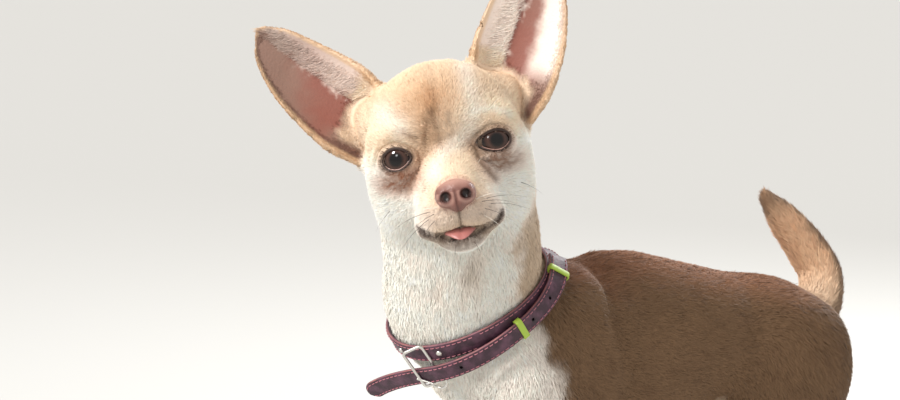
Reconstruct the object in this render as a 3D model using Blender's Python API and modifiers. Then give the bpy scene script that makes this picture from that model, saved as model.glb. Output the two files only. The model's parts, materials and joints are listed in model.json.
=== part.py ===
"""A life-size smooth-coated chihuahua that stands with its head turned and tilted, in a buckled collar.

The body is a blend of muscle masses set on a few landmarks, cut into its parts with narrow gaps.
Positions are in millimetres until a mesh is made. The dog faces -Y, +X is its left side and +Z is up.
"""

import math

import bmesh
import bpy
import numpy as np
from mathutils import Matrix, Vector

MM = 0.001
GAP = 0.3
SOLE = 0.35

# Each part's voxel size while it is shaped, and about how many triangles it keeps
BODY_MESH = (2.4, 3500)
HEAD_MESH = (1.4, 3100)
LEG_MESH = (1.7, 980)
NOSE_MESH = (0.8, 380)

# Landmarks of the standing body
ELBOW = Vector((29, 4, 118))
WRIST = Vector((28, -4, 44))
FORE_PAW = Vector((28, -10, 0))
STIFLE = Vector((30, 102, 108))
HOCK = Vector((26, 154, 60))
HIND_PAW = Vector((26, 145, 0))
TOES = ((-8, -6.5), (-2.9, -11.5), (2.9, -11.5), (8, -6.5))
TOE_RADII = (3.9, 8.2, 7.1)
CLAW_LINE = ((-4.6, 7.6, 1.5), (-9, 6.4, 1.25), (-11.3, 4.4, 0.75), (-12.1, 2.4, 0.25))
TAIL_LINE = (
    (-1, 142, 162, 13), (-5, 160, 169, 12), (-11, 167, 184, 11.3),
    (-16, 161, 199, 10.5), (-20, 151, 213, 8.5), (-22, 142, 224, 4.5),
)

# The head's own frame has its origin in the middle of the skull, with -Y along the muzzle
HEAD_CENTRE = Vector((31.3, -83.2, 277))
HEAD_TURN = 60
HEAD_NOD = -7
HEAD_TILT = -11.4
EYE = Vector((21.3, -25, -10.7))
EYE_RADIUS = 9.3
EYE_OUTWARD = 14
EYE_OPENING = Vector((14.8, 10.2))
LID = 1.5
EYE_SLANT = 0.06
NOSE = Vector((0, -59.5, -30.5))
NOSTRIL = Vector((4.6, -6.2, -0.6))
NOSTRIL_RADII = (1.7, 2.6, 1.9)
MOUTH_CORNER = Vector((18, 0, -41.5))
LIP_MIDDLE = -46
MOUTH_GAPE = 4.6
MOUTH_DEPTH = 15
LIP_PARTING = 0.45
TONGUE_RADII = Vector((6.7, 8.5, 1.65))
TONGUE_AT = Vector((-1.6, 6.6, -2.4))
EAR_THICKNESS = 2.0

# Each ear's inner and outer margin, from inside the skull out to the tip, on the dog's left and right
EAR_MARGINS = {
    1: (
        ((16, 6, 18), (21.5, 5, 34), (27, 7, 44), (36, 9, 57), (47, 12, 69), (59, 14, 74)),
        ((34, 0, -12), (49, -2, 2), (58, 0, 15), (65, 5, 31), (68.5, 10, 52), (63, 14, 72)),
    ),
    -1: (
        ((-20, 6, 16), (-28.5, 5, 32.5), (-38, 7, 42), (-50, 9, 51.5), (-62, 11, 60), (-72.5, 13, 64)),
        ((-34, 0, -13), (-50, -2, -2), (-60, 0, 9), (-72.5, 4, 29), (-78.5, 9, 48), (-77, 13, 61)),
    ),
}
EAR_CUP = 15

# The collar lies round the root of the neck, lower at the throat than at the nape
COLLAR_CENTRE = Vector((6.5, -55.5, 189))
COLLAR_NORMAL = Vector((0.137, -0.511, 0.848)).normalized()
COLLAR_WIDTH = 9.5
COLLAR_THICKNESS = 2.0
BUCKLE_ANGLE = -48
KEEPER_ANGLES = (33, 80)
RIVET_ANGLES = (-32, -68)
STRAP_START = 93
STRAP_DROP = 10.3
STRAP_LIFT = 3.4
STRAP_TAIL = 27
STRAP_STEPS = 36
BUCKLE_LENGTH = 9
KEEPER_WIDTH = 3.2
KEEPER_THICKNESS = 0.8
WIRE_RADIUS = 0.75
RING_RADIUS = 5
RING_WIRE = 0.6
RIVET_RADII = (1.5, 1.0)
RIVET_HEIGHT = 0.8

# Cuts between parts, each a point on the cut and the direction that its upper side faces
HEAD_CUT = (Vector((0, 14, -29)), Vector((0, -46, 54)))
NECK_CUT = (Vector((5, -49, 180)), COLLAR_NORMAL)
TAIL_CUT = (Vector((-6, 160, 172)), Vector((-3, 10, 9)))
FORELEG_CUT = (Vector((28, -13, 115)), Vector((-0.3, 0, 0.95)))
HINDLEG_CUT = (Vector((26, 131, 130)), Vector((-0.6, 0, 0.8)))


def head_frame():
    turn = Matrix.Rotation(math.radians(HEAD_TURN), 4, "Z")
    nod = Matrix.Rotation(math.radians(HEAD_NOD), 4, "X")
    tilt = Matrix.Rotation(math.radians(HEAD_TILT), 4, "Y")
    return Matrix.Translation(HEAD_CENTRE) @ turn @ nod @ tilt


HEAD = head_frame()
BODY = Matrix.Identity(4)


def spline(points, steps):
    """Points along a smooth curve through the given ones, which may hold any count of numbers."""
    line = np.array(points, float)
    padded = np.vstack((2 * line[0] - line[1], line, 2 * line[-1] - line[-2]))
    found = []
    for a, b, c, d in zip(padded, padded[1:], padded[2:], padded[3:]):
        slope = (c - a) / 2
        square = a - 2.5 * b + 2 * c - d / 2
        cube = 1.5 * (b - c) + (d - a) / 2
        for t in np.arange(steps) / steps:
            found.append(b + t * slope + t**2 * square + t**3 * cube)
    return np.vstack((found, line[-1]))


class Ball:
    """An ellipsoid mass. Its centre, radii and turn in degrees are in a frame."""

    def __init__(self, centre, radii, blend, turn=(0, 0, 0), frame=BODY):
        place = Matrix.Translation(centre)
        for degrees, axis in zip(turn, "XYZ"):
            place = place @ Matrix.Rotation(math.radians(degrees), 4, axis)
        self.place = frame @ place
        self.radii = np.array(radii, float)
        self.blend = blend
        self.middle = np.array(self.place.translation)
        self.reach = max(radii)

    def distance(self, points):
        local = (points - self.middle) @ np.array(self.place.to_3x3())
        near = np.linalg.norm(local / self.radii, axis=1)
        slope = np.linalg.norm(local / self.radii**2, axis=1)
        return near * (near - 1) / np.maximum(slope, 1e-6)

    def rough(self, bm, grow):
        size = Matrix.Diagonal((*(self.radii + grow), 1))
        bmesh.ops.create_icosphere(bm, subdivisions=3, radius=1, matrix=self.place @ size)


class Tube:
    """A limb's mass along a smooth line through points that each hold x, y, z and a radius."""

    def __init__(self, line, blend, frame=BODY, steps=4):
        line = spline(line, steps)
        turn = np.array(frame.to_3x3())
        self.centres = line[:, :3] @ turn.T + np.array(frame.translation)
        self.radii = line[:, 3]
        self.blend = blend
        self.middle = self.centres.mean(axis=0)
        self.reach = (np.linalg.norm(self.centres - self.middle, axis=1) + self.radii).max()

    def distance(self, points):
        found = np.full(len(points), np.inf)
        for start, end, r0, r1 in zip(self.centres, self.centres[1:], self.radii, self.radii[1:]):
            along = end - start
            share = np.clip((points - start) @ along / (along @ along), 0, 1)
            away = np.linalg.norm(points - start - share[:, None] * along, axis=1)
            found = np.minimum(found, away - r0 - share * (r1 - r0))
        return found

    def rough(self, bm, grow):
        for centre, radius in zip(self.centres, self.radii + grow):
            bmesh.ops.create_icosphere(bm, subdivisions=3, radius=radius, matrix=Matrix.Translation(centre))


def torso_masses():
    return [
        Ball((0, 34, 161), (36, 64, 47), 20, (-7, 0, 0)),
        Ball((2, -26, 160), (33, 37, 43), 22),
        Ball((0, 94, 163), (30, 50, 30), 20, (-8, 0, 0)),
        Ball((0, 126, 154), (30, 32, 31), 18, (-18, 0, 0)),
        Ball((24, -6, 168), (13, 25, 34), 16, (18, 0, 0)),
        Ball((-24, -6, 168), (13, 25, 34), 16, (18, 0, 0)),
    ]


def neck_masses():
    nape = (
        (5, -24, 178, 32),
        (10, -48, 196, 28.5),
        (19, -56, 216, 29.5),
        (25, -62, 236, 29),
        (26, -66, 252, 27),
    )
    throat = (
        (0, -34, 172, 34),
        (4.2, -61, 190, 32.3),
        (13, -69, 214, 31),
        (18, -76, 232, 29),
        (20, -80, 248, 27),
    )
    return [Tube(nape, 14), Tube(throat, 14)]


def paw_masses(place):
    """A tight oval foot of a pad and four toes, the middle two further forward."""
    middle = Vector(place)
    found = [Ball(middle + Vector((0, 3, 10)), (10.5, 13.5, 11), 6)]
    for across, ahead in TOES:
        found.append(Ball(middle + Vector((across, ahead, TOE_RADII[2] - 0.7)), TOE_RADII, 1.6))
    return found


def foreleg_masses(side):
    upper = ((27 * side, -38, 152, 17), (30 * side, -14, 130, 16), (ELBOW.x * side, *ELBOW.yz, 13.5))
    lower = (
        (ELBOW.x * side, *ELBOW.yz, 13.5), (29 * side, 1, 92, 11), (28.5 * side, -1, 68, 8.8),
        (WRIST.x * side, *WRIST.yz, 8.3), (FORE_PAW.x * side, FORE_PAW.y + 3, 16, 7.4),
    )
    return [Tube(upper, 14), Tube(lower, 7), *paw_masses((FORE_PAW.x * side, FORE_PAW.y, 0))]


def hindleg_masses(side):
    lower = (
        (STIFLE.x * side, *STIFLE.yz, 14.5), (30 * side, 112, 100, 14.5), (28.5 * side, 133, 80, 10.5),
        (HOCK.x * side, *HOCK.yz, 7.6),
    )
    pastern = (
        (HOCK.x * side, HOCK.y + 1, HOCK.z + 3, 7), (26 * side, HOCK.y - 1, 45, 7.2),
        (HIND_PAW.x * side, HIND_PAW.y + 4, 17, 7),
    )
    return [
        Ball((21 * side, 126, 138), (16.5, 31, 40), 16, (-28, 0, 0)),
        Ball((15 * side, 143, 140), (15, 17, 28), 12),
        Tube(lower, 10),
        Tube(pastern, 4),
        *paw_masses((HIND_PAW.x * side, HIND_PAW.y, 0)),
    ]


def tail_masses():
    return [Tube(TAIL_LINE, 8)]


def head_masses():
    found = [
        Ball((0, 3, -1), (36, 39, 33), 10, frame=HEAD),
        Ball((0, -17, 7), (28, 21, 21.5), 10, frame=HEAD),
        Ball((0, 24, -2), (27, 20, 24), 12, frame=HEAD),
        Ball((0, -20, -29), (21, 22, 17), 12, frame=HEAD),
    ]
    for side in (1, -1):
        found += [
            Ball((20 * side, -19, 0), (14, 13, 8), 7, frame=HEAD),
            Ball((27 * side, -10, -13), (10.5, 17, 12), 8, frame=HEAD),
            Ball((23 * side, 0, -28), (14, 20, 18), 12, frame=HEAD),
            Ball((28 * side, 10, 8), (8.5, 13, 12.5), 10, (0, 40 * side, 0), HEAD),
        ]
    found += [
        Tube(((0, -26, -23, 15), (0, -42, -27.5, 11.5), (0, -53, -30.5, 9.5)), 8, HEAD),
        Tube(((8, -34, -36, 10.5), (7.5, -44, -38, 9), (5.5, -52, -38.5, 7.2)), 6, HEAD),
        Tube(((-8, -34, -36, 10.5), (-7.5, -44, -38, 9), (-5.5, -52, -38.5, 7.2)), 6, HEAD),
        Tube(((0, -10, -40, 16), (0, -28, -45, 12.5), (0, -44, -48, 8.5)), 5, HEAD),
        Ball((0, -38, -47), (13, 12, 8.5), 5, frame=HEAD),
    ]
    found += [Ball(eye_centre(side), (EYE_RADIUS + LID,) * 3, 3, frame=HEAD) for side in (1, -1)]
    return found


def nose_masses():
    found = [
        Ball(NOSE, (8.2, 6, 6.6), 3, frame=HEAD),
        Ball(NOSE + Vector((0, -1.2, -5)), (3, 4, 3.4), 3, frame=HEAD),
    ]
    for side in (1, -1):
        found.append(Ball(NOSE + Vector((5.6 * side, -0.6, -0.6)), (4, 5.2, 4.8), 2, frame=HEAD))
    return found


def all_masses():
    masses = torso_masses() + neck_masses() + tail_masses() + head_masses()
    for side in (1, -1):
        masses += foreleg_masses(side) + hindleg_masses(side)
    return masses


def smooth_min(a, b, blend):
    share = np.clip(0.5 + 0.5 * (b - a) / blend, 0, 1)
    return b + (a - b) * share - blend * share * (1 - share)


def flesh_distance(points, masses):
    """Signed distance, in millimetres, from the blended outside of the masses, good near that surface."""
    found = np.full(len(points), 60.0)
    for mass in masses:
        near = np.linalg.norm(points - mass.middle, axis=1) < mass.reach + mass.blend + 14
        found[near] = smooth_min(found[near], mass.distance(points[near]), mass.blend)
    return found


def slope_of(points, masses, step=0.4):
    here = flesh_distance(points, masses)
    rises = [flesh_distance(points + step * axis, masses) - here for axis in np.eye(3)]
    return here, np.stack(rises, axis=1) / step


def settled(points, masses, level=0.0, rounds=5):
    """The points moved along the slope onto the blended surface, or onto one a little outside it."""
    for _ in range(rounds):
        here, slope = slope_of(points, masses)
        length = np.maximum(np.linalg.norm(slope, axis=1, keepdims=True), 0.3)
        points = points - np.clip(here - level, -4, 4)[:, None] * slope / length**2
    return points


def placed(name, bm, collection, material=None):
    """An object made of a bmesh that was modelled in millimetres."""
    bm.transform(Matrix.Scale(MM, 4))
    bmesh.ops.recalc_face_normals(bm, faces=bm.faces)
    mesh = bpy.data.meshes.new(name)
    bm.to_mesh(mesh)
    bm.free()
    made = bpy.data.objects.new(name, mesh)
    collection.objects.link(made)
    if material:
        mesh.materials.append(material)
    return made


def apply_modifier(obj, kind, **settings):
    modifier = obj.modifiers.new(kind.title(), kind)
    for key, value in settings.items():
        setattr(modifier, key, value)
    old = obj.data
    graph = bpy.context.evaluated_depsgraph_get()
    obj.data = bpy.data.meshes.new_from_object(obj.evaluated_get(graph))
    obj.modifiers.clear()
    bpy.data.meshes.remove(old)


def boolean(obj, other, operation="DIFFERENCE", keep_other=False):
    apply_modifier(obj, "BOOLEAN", object=other, operation=operation)
    if not keep_other:
        bpy.data.objects.remove(other)


def islands(obj):
    """The connected groups of vertices of an object's mesh, the largest first."""
    bm = bmesh.new()
    bm.from_mesh(obj.data)
    bm.verts.ensure_lookup_table()
    left = set(range(len(bm.verts)))
    groups = []
    while left:
        start = left.pop()
        group, edge = {start}, [start]
        while edge:
            for link in bm.verts[edge.pop()].link_edges:
                for vert in link.verts:
                    if vert.index in left:
                        left.discard(vert.index)
                        group.add(vert.index)
                        edge.append(vert.index)
        groups.append(group)
    bm.free()
    return sorted(groups, key=len, reverse=True)


def keep_vertices(obj, group):
    bm = bmesh.new()
    bm.from_mesh(obj.data)
    bm.verts.ensure_lookup_table()
    bmesh.ops.delete(bm, geom=[v for v in bm.verts if v.index not in group], context="VERTS")
    bm.to_mesh(obj.data)
    bm.free()


def keep_largest(obj):
    keep_vertices(obj, islands(obj)[0])


def vertex_array(mesh):
    points = np.empty(len(mesh.vertices) * 3, np.float32)
    mesh.vertices.foreach_get("co", points)
    return points.reshape(-1, 3).astype(float)


def set_vertices(mesh, points):
    mesh.vertices.foreach_set("co", points.astype(np.float32).ravel())
    mesh.update()


def block(name, masses, field, meshing, collection, look=None, level=0.0):
    """A closed mesh round some masses, on the surface that the field's masses blend into."""
    voxel, triangles = meshing
    bm = bmesh.new()
    for mass in masses:
        mass.rough(bm, level)
    made = placed(name, bm, collection)
    apply_modifier(made, "REMESH", mode="VOXEL", voxel_size=voxel * MM)
    points = settled(vertex_array(made.data) / MM, field, level)
    points[:, 2] = np.maximum(points[:, 2], 0)
    set_vertices(made.data, points * MM)
    keep_largest(made)
    made.data.calc_loop_triangles()
    ratio = min(1, triangles / len(made.data.loop_triangles))
    apply_modifier(made, "DECIMATE", decimate_type="COLLAPSE", ratio=ratio)
    points = vertex_array(made.data)
    points[:, 2] = np.where(points[:, 2] < SOLE * MM, 0, points[:, 2])
    set_vertices(made.data, points)
    made.data.materials.clear()
    if look:
        made.data.materials.append(look)
    return made


def cut_box(name, cut, bottom, top, reach, collection, frame=BODY):
    """A box across a cut, from one height to another along the way the cut's upper side faces."""
    point, up = cut
    wide, long = reach
    up = up.normalized()
    across = Vector((0, 1, 0)).cross(up).normalized()
    turn = frame.to_3x3() @ Matrix((across, up.cross(across), up)).transposed()
    middle = Matrix.Translation((0, 0, (bottom + top) / 2))
    size = Matrix.Diagonal((2 * wide, 2 * long, top - bottom, 1))
    bm = bmesh.new()
    place = Matrix.Translation(frame @ point) @ turn.to_4x4()
    bmesh.ops.create_cube(bm, size=1, matrix=place @ middle @ size)
    return placed(name, bm, collection)


def mirrored(cut, side):
    point, up = cut
    return Vector((point.x * side, *point.yz)), Vector((up.x * side, *up.yz))


def gaze(side):
    turn = math.radians(EYE_OUTWARD) * side
    return Vector((math.sin(turn), -math.cos(turn), EYE_SLANT)).normalized()


def eye_centre(side):
    return Vector((EYE.x * side, *EYE.yz))


def eye_opening(side, collection):
    """A flaring prism along the gaze, with the outline of the parted lids."""
    ahead = gaze(side)
    across = ahead.cross(Vector((0, 0, 1))).normalized() * -side
    up = across.cross(ahead).normalized()
    if up.z < 0:
        up = -up
    bm = bmesh.new()
    rings = []
    for distance, grow in ((2, 0.96), (EYE_RADIUS, 1.0), (EYE_RADIUS + 14, 1.5)):
        ring = []
        for step in range(20):
            angle = 2 * math.pi * step / 20
            out = EYE_OPENING.x / 2 * math.cos(angle) * grow
            rise = math.copysign(abs(math.sin(angle)) ** 1.25, math.sin(angle))
            height = EYE_OPENING.y / 2 * rise * grow + EYE_SLANT * out
            ring.append(bm.verts.new(eye_centre(side) + ahead * distance + across * out + up * height))
        rings.append(ring)
    loft(bm, rings)
    bm.transform(HEAD)
    return placed("eye opening", bm, collection)


def loft(bm, rings, closed=False):
    """Walls between rings of vertices, with both ends filled unless the run closes on itself."""
    pairs = list(zip(rings, rings[1:]))
    if closed:
        pairs.append((rings[-1], rings[0]))
    for a, b in pairs:
        for i in range(len(a)):
            j = (i + 1) % len(a)
            bm.faces.new((a[i], a[j], b[j], b[i]))
    if not closed:
        bm.faces.new(rings[0][::-1])
        bm.faces.new(rings[-1])


def ball_object(name, centre, radii, collection, frame=BODY, segments=20, rings=14, material=None):
    bm = bmesh.new()
    place = frame @ Matrix.Translation(centre) @ Matrix.Diagonal((*radii, 1))
    bmesh.ops.create_uvsphere(bm, u_segments=segments, v_segments=rings, radius=1, matrix=place)
    return placed(name, bm, collection, material)


def front_of_head(across, height, masses):
    """How far along the head's Y axis its front surface lies, at a place across it and a height."""
    tries = np.arange(-85, 0, 0.5)
    local = np.stack((np.full_like(tries, across), tries, np.full_like(tries, height)), axis=1)
    world = local @ np.array(HEAD.to_3x3()).T + np.array(HEAD.translation)
    return tries[np.argmax(flesh_distance(world, masses) < 0)]


def mouth_share(across):
    return max(0, 1 - (across / MOUTH_CORNER.x) ** 2)


def mouth_slit(masses, collection):
    """A plate that parts the lips, thin at the corners and open in the middle, where the tongue shows."""
    count = 22
    bm = bmesh.new()
    rings = []
    for step in range(count + 1):
        across = MOUTH_CORNER.x * math.sin((step / count - 0.5) * math.pi) * 1.01
        share = mouth_share(across)
        upper = MOUTH_CORNER.z + (LIP_MIDDLE - MOUTH_CORNER.z) * share
        gape = LIP_PARTING + (MOUTH_GAPE - LIP_PARTING) * math.exp(-(across / 8.5) ** 4) * share
        front = front_of_head(across, upper - gape / 2, masses)
        back = front + MOUTH_DEPTH * share**0.7 + 0.3
        corners = (
            (front - 9, upper + 0.1), (back, upper), (back, upper - gape * 0.8), (front - 9, upper - gape),
        )
        rings.append([bm.verts.new((across, y, z)) for y, z in corners])
    loft(bm, rings)
    bm.transform(HEAD)
    return placed("mouth slit", bm, collection)


def tongue(name, masses, collection, material=None, grow=0.0):
    """The tongue's tip, which rests on the lower lip."""
    middle = LIP_MIDDLE + TONGUE_AT.z
    front = front_of_head(0, middle, masses)
    wide, long, thick = (radius + grow for radius in TONGUE_RADII)
    bm = bmesh.new()
    bmesh.ops.create_uvsphere(bm, u_segments=16, v_segments=8, radius=1)
    for vert in bm.verts:
        x, y, z = vert.co
        sag = 0.03 * max(0, -y * long - 4) ** 2
        vert.co = (TONGUE_AT.x + x * wide, front + TONGUE_AT.y + y * long, middle + z * thick - sag)
    bm.transform(HEAD)
    return placed(name, bm, collection, material)


def ear_sheet(side, collection, material):
    """A cupped leaf between the ear's two margins, given its thickness."""
    inner, outer = (spline(margin, 3) for margin in EAR_MARGINS[side])
    across_count = 10
    bm = bmesh.new()
    rows = []
    for index, (a, b) in enumerate(zip(inner, outer)):
        along = index / (len(inner) - 1)
        depth = EAR_CUP * (1 - along) ** 0.8 * min(1, np.linalg.norm(b - a) / 30)
        row = []
        for step in range(across_count + 1):
            share = step / across_count
            point = a + (b - a) * share
            point[1] += depth * math.sin(math.pi * share) ** 0.8
            row.append(bm.verts.new(point))
        rows.append(row)
    for a, b in zip(rows, rows[1:]):
        for i in range(across_count):
            bm.faces.new((a[i], a[i + 1], b[i + 1], b[i]))
    bm.transform(HEAD)
    ear = placed("ear_left" if side > 0 else "ear_right", bm, collection, material)
    apply_modifier(ear, "SOLIDIFY", thickness=EAR_THICKNESS * MM, offset=0, use_even_offset=True)
    return ear


def claws(paw, side, collection):
    """The four claws of a foot, each a curved cone with its root sunk in a toe."""
    bm = bmesh.new()
    for across, ahead in TOES:
        toe = Vector((paw.x * side + across, paw.y + ahead, 0))
        line = [(toe + Vector((0, y, z)), radius) for y, z, radius in CLAW_LINE]
        rings = []
        for index, (point, radius) in enumerate(line):
            after = line[min(index + 1, len(line) - 1)][0]
            before = line[max(index - 1, 0)][0]
            turn = (after - before).to_track_quat("Z", "X").to_matrix()
            ring = []
            for step in range(7):
                angle = 2 * math.pi * step / 7
                spoke = Vector((math.cos(angle), math.sin(angle), 0)) * radius
                ring.append(bm.verts.new(point + turn @ spoke))
            rings.append(ring)
        loft(bm, rings)
    return placed("claws", bm, collection)


def collar_axes():
    toward = Vector((0.866, -0.5, 0))
    toward = (toward - COLLAR_NORMAL * toward.dot(COLLAR_NORMAL)).normalized()
    return toward, COLLAR_NORMAL.cross(toward)


def collar_line(masses, count=60, clearance=0.9):
    """Points round the neck's root just outside the body, and the outward direction at each."""
    toward, right = (np.array(v) for v in collar_axes())
    angles = np.arange(count) * 2 * math.pi / count
    ways = np.cos(angles)[:, None] * toward + np.sin(angles)[:, None] * right
    low, high = np.full(count, 15.0), np.full(count, 75.0)
    for _ in range(18):
        middle = (low + high) / 2
        inside = flesh_distance(np.array(COLLAR_CENTRE) + ways * middle[:, None], masses) < 0
        low, high = np.where(inside, middle, low), np.where(inside, high, middle)
    radius = low + clearance + COLLAR_THICKNESS / 2
    for _ in range(6):
        smooth = (np.roll(radius, 1) + radius + np.roll(radius, -1)) / 3
        radius = np.maximum(smooth, radius - 0.3)
    points = np.array(COLLAR_CENTRE) + ways * radius[:, None]
    for _ in range(3):
        _, slope = slope_of(points, masses, step=3)
        outward = slope / np.linalg.norm(slope, axis=1, keepdims=True)
        for _ in range(4):
            outward = (np.roll(outward, 1, 0) + outward * 2 + np.roll(outward, -1, 0)) / 4
        along = np.roll(points, -1, 0) - np.roll(points, 1, 0)
        along /= np.linalg.norm(along, axis=1, keepdims=True)
        outward -= along * (outward * along).sum(axis=1, keepdims=True)
        outward /= np.linalg.norm(outward, axis=1, keepdims=True)
        down = np.cross(along, outward)
        lack = np.zeros(count)
        for edge in (-1, -0.5, 0, 0.5, 1):
            inner = points - outward * COLLAR_THICKNESS / 2 + down * COLLAR_WIDTH / 2 * edge
            lack = np.maximum(lack, 0.5 - flesh_distance(inner, masses))
        points = points + outward * lack[:, None]
    return points, outward, down


def collar_angle(degrees, line):
    """The collar line's place, outward and downward directions at an angle from the turned head's side."""
    points, outward, down = line
    count = len(points)
    at = degrees / 360 * count
    low = math.floor(at)
    share = at - low
    found = []
    for values in (points, outward, down):
        value = values[low % count] * (1 - share) + values[(low + 1) % count] * share
        found.append(Vector(value))
    return found[0], found[1].normalized(), found[2].normalized()


def strap_ring(bm, point, outward, down, width, thickness):
    """The eight corners of a strap's section, whose edges are slightly rounded."""
    half, thick = width / 2, thickness / 2
    bevel = min(0.5, half * 0.8)
    corners = ((-half, thick - 0.5), (bevel - half, thick), (half - bevel, thick), (half, thick - 0.5),
               (half, 0.5 - thick), (half - bevel, -thick), (bevel - half, -thick), (-half, 0.5 - thick))
    return [bm.verts.new(point + down * a + outward * b) for a, b in corners]


def collar_band(line, collection, material):
    bm = bmesh.new()
    points, outward, down = line
    rings = [strap_ring(bm, Vector(p), Vector(o), Vector(d), COLLAR_WIDTH, COLLAR_THICKNESS)
             for p, o, d in zip(points, outward, down)]
    loft(bm, rings, closed=True)
    placed("collar_band", bm, collection, material)


def strap_course(line):
    """Places along the outer strap, from under the far keeper, through the buckle to its free tip."""
    course = []
    for step in range(STRAP_STEPS + 1):
        apart = step / STRAP_STEPS
        point, outward, down = collar_angle(STRAP_START + (BUCKLE_ANGLE - STRAP_START) * apart, line)
        lift = STRAP_LIFT + 0.9 * apart**3
        course.append([point + outward * lift + down * STRAP_DROP * apart, outward, down])
    along = (course[-1][0] - course[-2][0]).normalized()
    last, outward, down = course[-1]
    for share in np.linspace(0.1, 1, 10):
        distance = STRAP_TAIL * (1 - (1 - share) ** 1.5)
        course.append([last + along * distance, outward, down])
    for before, place, after in zip(course, course[1:], course[2:]):
        along = (after[0] - before[0]).normalized()
        for index in (1, 2):
            place[index] = (place[index] - along * place[index].dot(along)).normalized()
    return course


def strap_place(degrees, course):
    """The place along the strap that lies at an angle round the collar."""
    return course[round(STRAP_STEPS * (degrees - STRAP_START) / (BUCKLE_ANGLE - STRAP_START))]


def collar_strap(course, collection, material):
    """The outer strap, rounded at its free end."""
    bm = bmesh.new()
    end = course[-1][0]
    rings = []
    for point, outward, down in course:
        inset = max(0, 1 - (end - point).length / (COLLAR_WIDTH / 2))
        width = COLLAR_WIDTH * max(0.12, math.sqrt(1 - inset**2))
        rings.append(strap_ring(bm, point, outward, down, width, COLLAR_THICKNESS))
    loft(bm, rings)
    placed("collar_strap", bm, collection, material)


def wire(name, points, radius, collection, material):
    """A wire along a closed line of points, as a curve with a bevel."""
    curve = bpy.data.curves.new(name, "CURVE")
    curve.dimensions = "3D"
    curve.bevel_depth = radius * MM
    curve.bevel_resolution = 1
    curve.use_fill_caps = True
    run = curve.splines.new("POLY")
    run.points.add(len(points) - 1)
    for spot, point in zip(run.points, points):
        spot.co = (*(point * MM), 1)
    run.use_cyclic_u = True
    curve.materials.append(material)
    made = bpy.data.objects.new(name, curve)
    collection.objects.link(made)
    return made


def rounded_loop(centre, across, along, half_across, half_along, corner, count=5):
    """Points round a rectangle with rounded corners, in the plane of two directions."""
    found = []
    for quarter, (x, y) in enumerate(((1, 1), (-1, 1), (-1, -1), (1, -1))):
        for step in range(count):
            angle = (quarter + step / (count - 1)) * math.pi / 2
            a = x * (half_across - corner) + corner * math.cos(angle)
            b = y * (half_along - corner) + corner * math.sin(angle)
            found.append(centre + across * a + along * b)
    return found


def collar_buckle(line, course, collection, cutters, material):
    """A wire frame round the strap at the band: its near bar over both, its far bar under the strap."""
    point = collar_angle(BUCKLE_ANGLE, line)[0]
    strap, outward, down = strap_place(BUCKLE_ANGLE, course)
    tip_ward = down.cross(outward).normalized()
    if tip_ward.dot(course[-1][0] - strap) < 0:
        tip_ward = -tip_ward
    low = COLLAR_THICKNESS / 2 + GAP + WIRE_RADIUS
    drop = (strap - point).dot(down)
    high = (strap - point).dot(outward) + low
    middle = point + down * drop / 2 + outward * (low + high) / 2
    slanted = tip_ward * BUCKLE_LENGTH / 2 + outward * (high - low) / 2
    half_width = drop / 2 + COLLAR_WIDTH / 2 + 1.2
    points = rounded_loop(middle, down, slanted.normalized(), half_width, slanted.length, 1.6)
    frame = as_mesh(wire("collar_buckle", points, WIRE_RADIUS, collection, material))
    start = strap + tip_ward * BUCKLE_LENGTH / 2 + outward * low
    end = strap - tip_ward * 2.5 + down * 4.4 + outward * (low - 0.15)
    bm = bmesh.new()
    turn = (end - start).to_track_quat("Z", "Y").to_matrix().to_4x4()
    place = Matrix.Translation((start + end) / 2) @ turn
    depth = (end - start).length
    bmesh.ops.create_cone(
        bm, cap_ends=True, segments=8, radius1=0.6, radius2=0.45, depth=depth, matrix=place)
    boolean(frame, placed("prong", bm, cutters), "UNION")


def collar_ring(course, collection, material):
    """A wire ring that hangs behind the strap's lower edge at the buckle."""
    strap, outward, down = strap_place(BUCKLE_ANGLE, course)
    side = down.cross(outward).normalized()
    centre = strap + down * (COLLAR_WIDTH / 2 + 2.6) - outward * (STRAP_LIFT + 0.7)
    points = []
    for step in range(20):
        angle = 2 * math.pi * step / 20
        points.append(centre + (side * math.cos(angle) + down * math.sin(angle)) * RING_RADIUS)
    wire("collar_ring", points, RING_WIRE, collection, material)


def keeper(name, degrees, course, collection, material):
    """A narrow loop round the outer strap."""
    point, outward, down = strap_place(degrees, course)
    along = down.cross(outward).normalized()
    half_across = COLLAR_WIDTH / 2 + GAP
    half_out = COLLAR_THICKNESS / 2 + GAP
    bm = bmesh.new()
    rings = []
    for x, y in ((-1, -1), (1, -1), (1, 1), (-1, 1)):
        ring = []
        for grow, ahead in ((0, -1), (1, -1), (1, 1), (0, 1)):
            place = point + down * x * (half_across + KEEPER_THICKNESS * grow)
            place += outward * y * (half_out + KEEPER_THICKNESS * grow)
            ring.append(bm.verts.new(place + along * ahead * KEEPER_WIDTH / 2))
        rings.append(ring)
    loft(bm, rings, closed=True)
    placed(name, bm, collection, material)


def rivet(name, degrees, line, collection, material):
    """A low round stud just clear of the band's face."""
    point, outward, _ = collar_angle(degrees, line)
    turn = outward.to_track_quat("Z", "Y").to_matrix().to_4x4()
    lift = COLLAR_THICKNESS / 2 + GAP + RIVET_HEIGHT / 2
    place = Matrix.Translation(point + outward * lift) @ turn
    bm = bmesh.new()
    base, top = RIVET_RADII
    bmesh.ops.create_cone(
        bm, cap_ends=True, segments=10, radius1=base, radius2=top, depth=RIVET_HEIGHT, matrix=place)
    placed(name, bm, collection, material)


def as_mesh(obj):
    """A mesh object in place of a curve object."""
    graph = bpy.context.evaluated_depsgraph_get()
    mesh = bpy.data.meshes.new_from_object(obj.evaluated_get(graph))
    name = obj.name
    collection = obj.users_collection[0]
    bpy.data.objects.remove(obj)
    made = bpy.data.objects.new(name, mesh)
    collection.objects.link(made)
    return made


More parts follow.
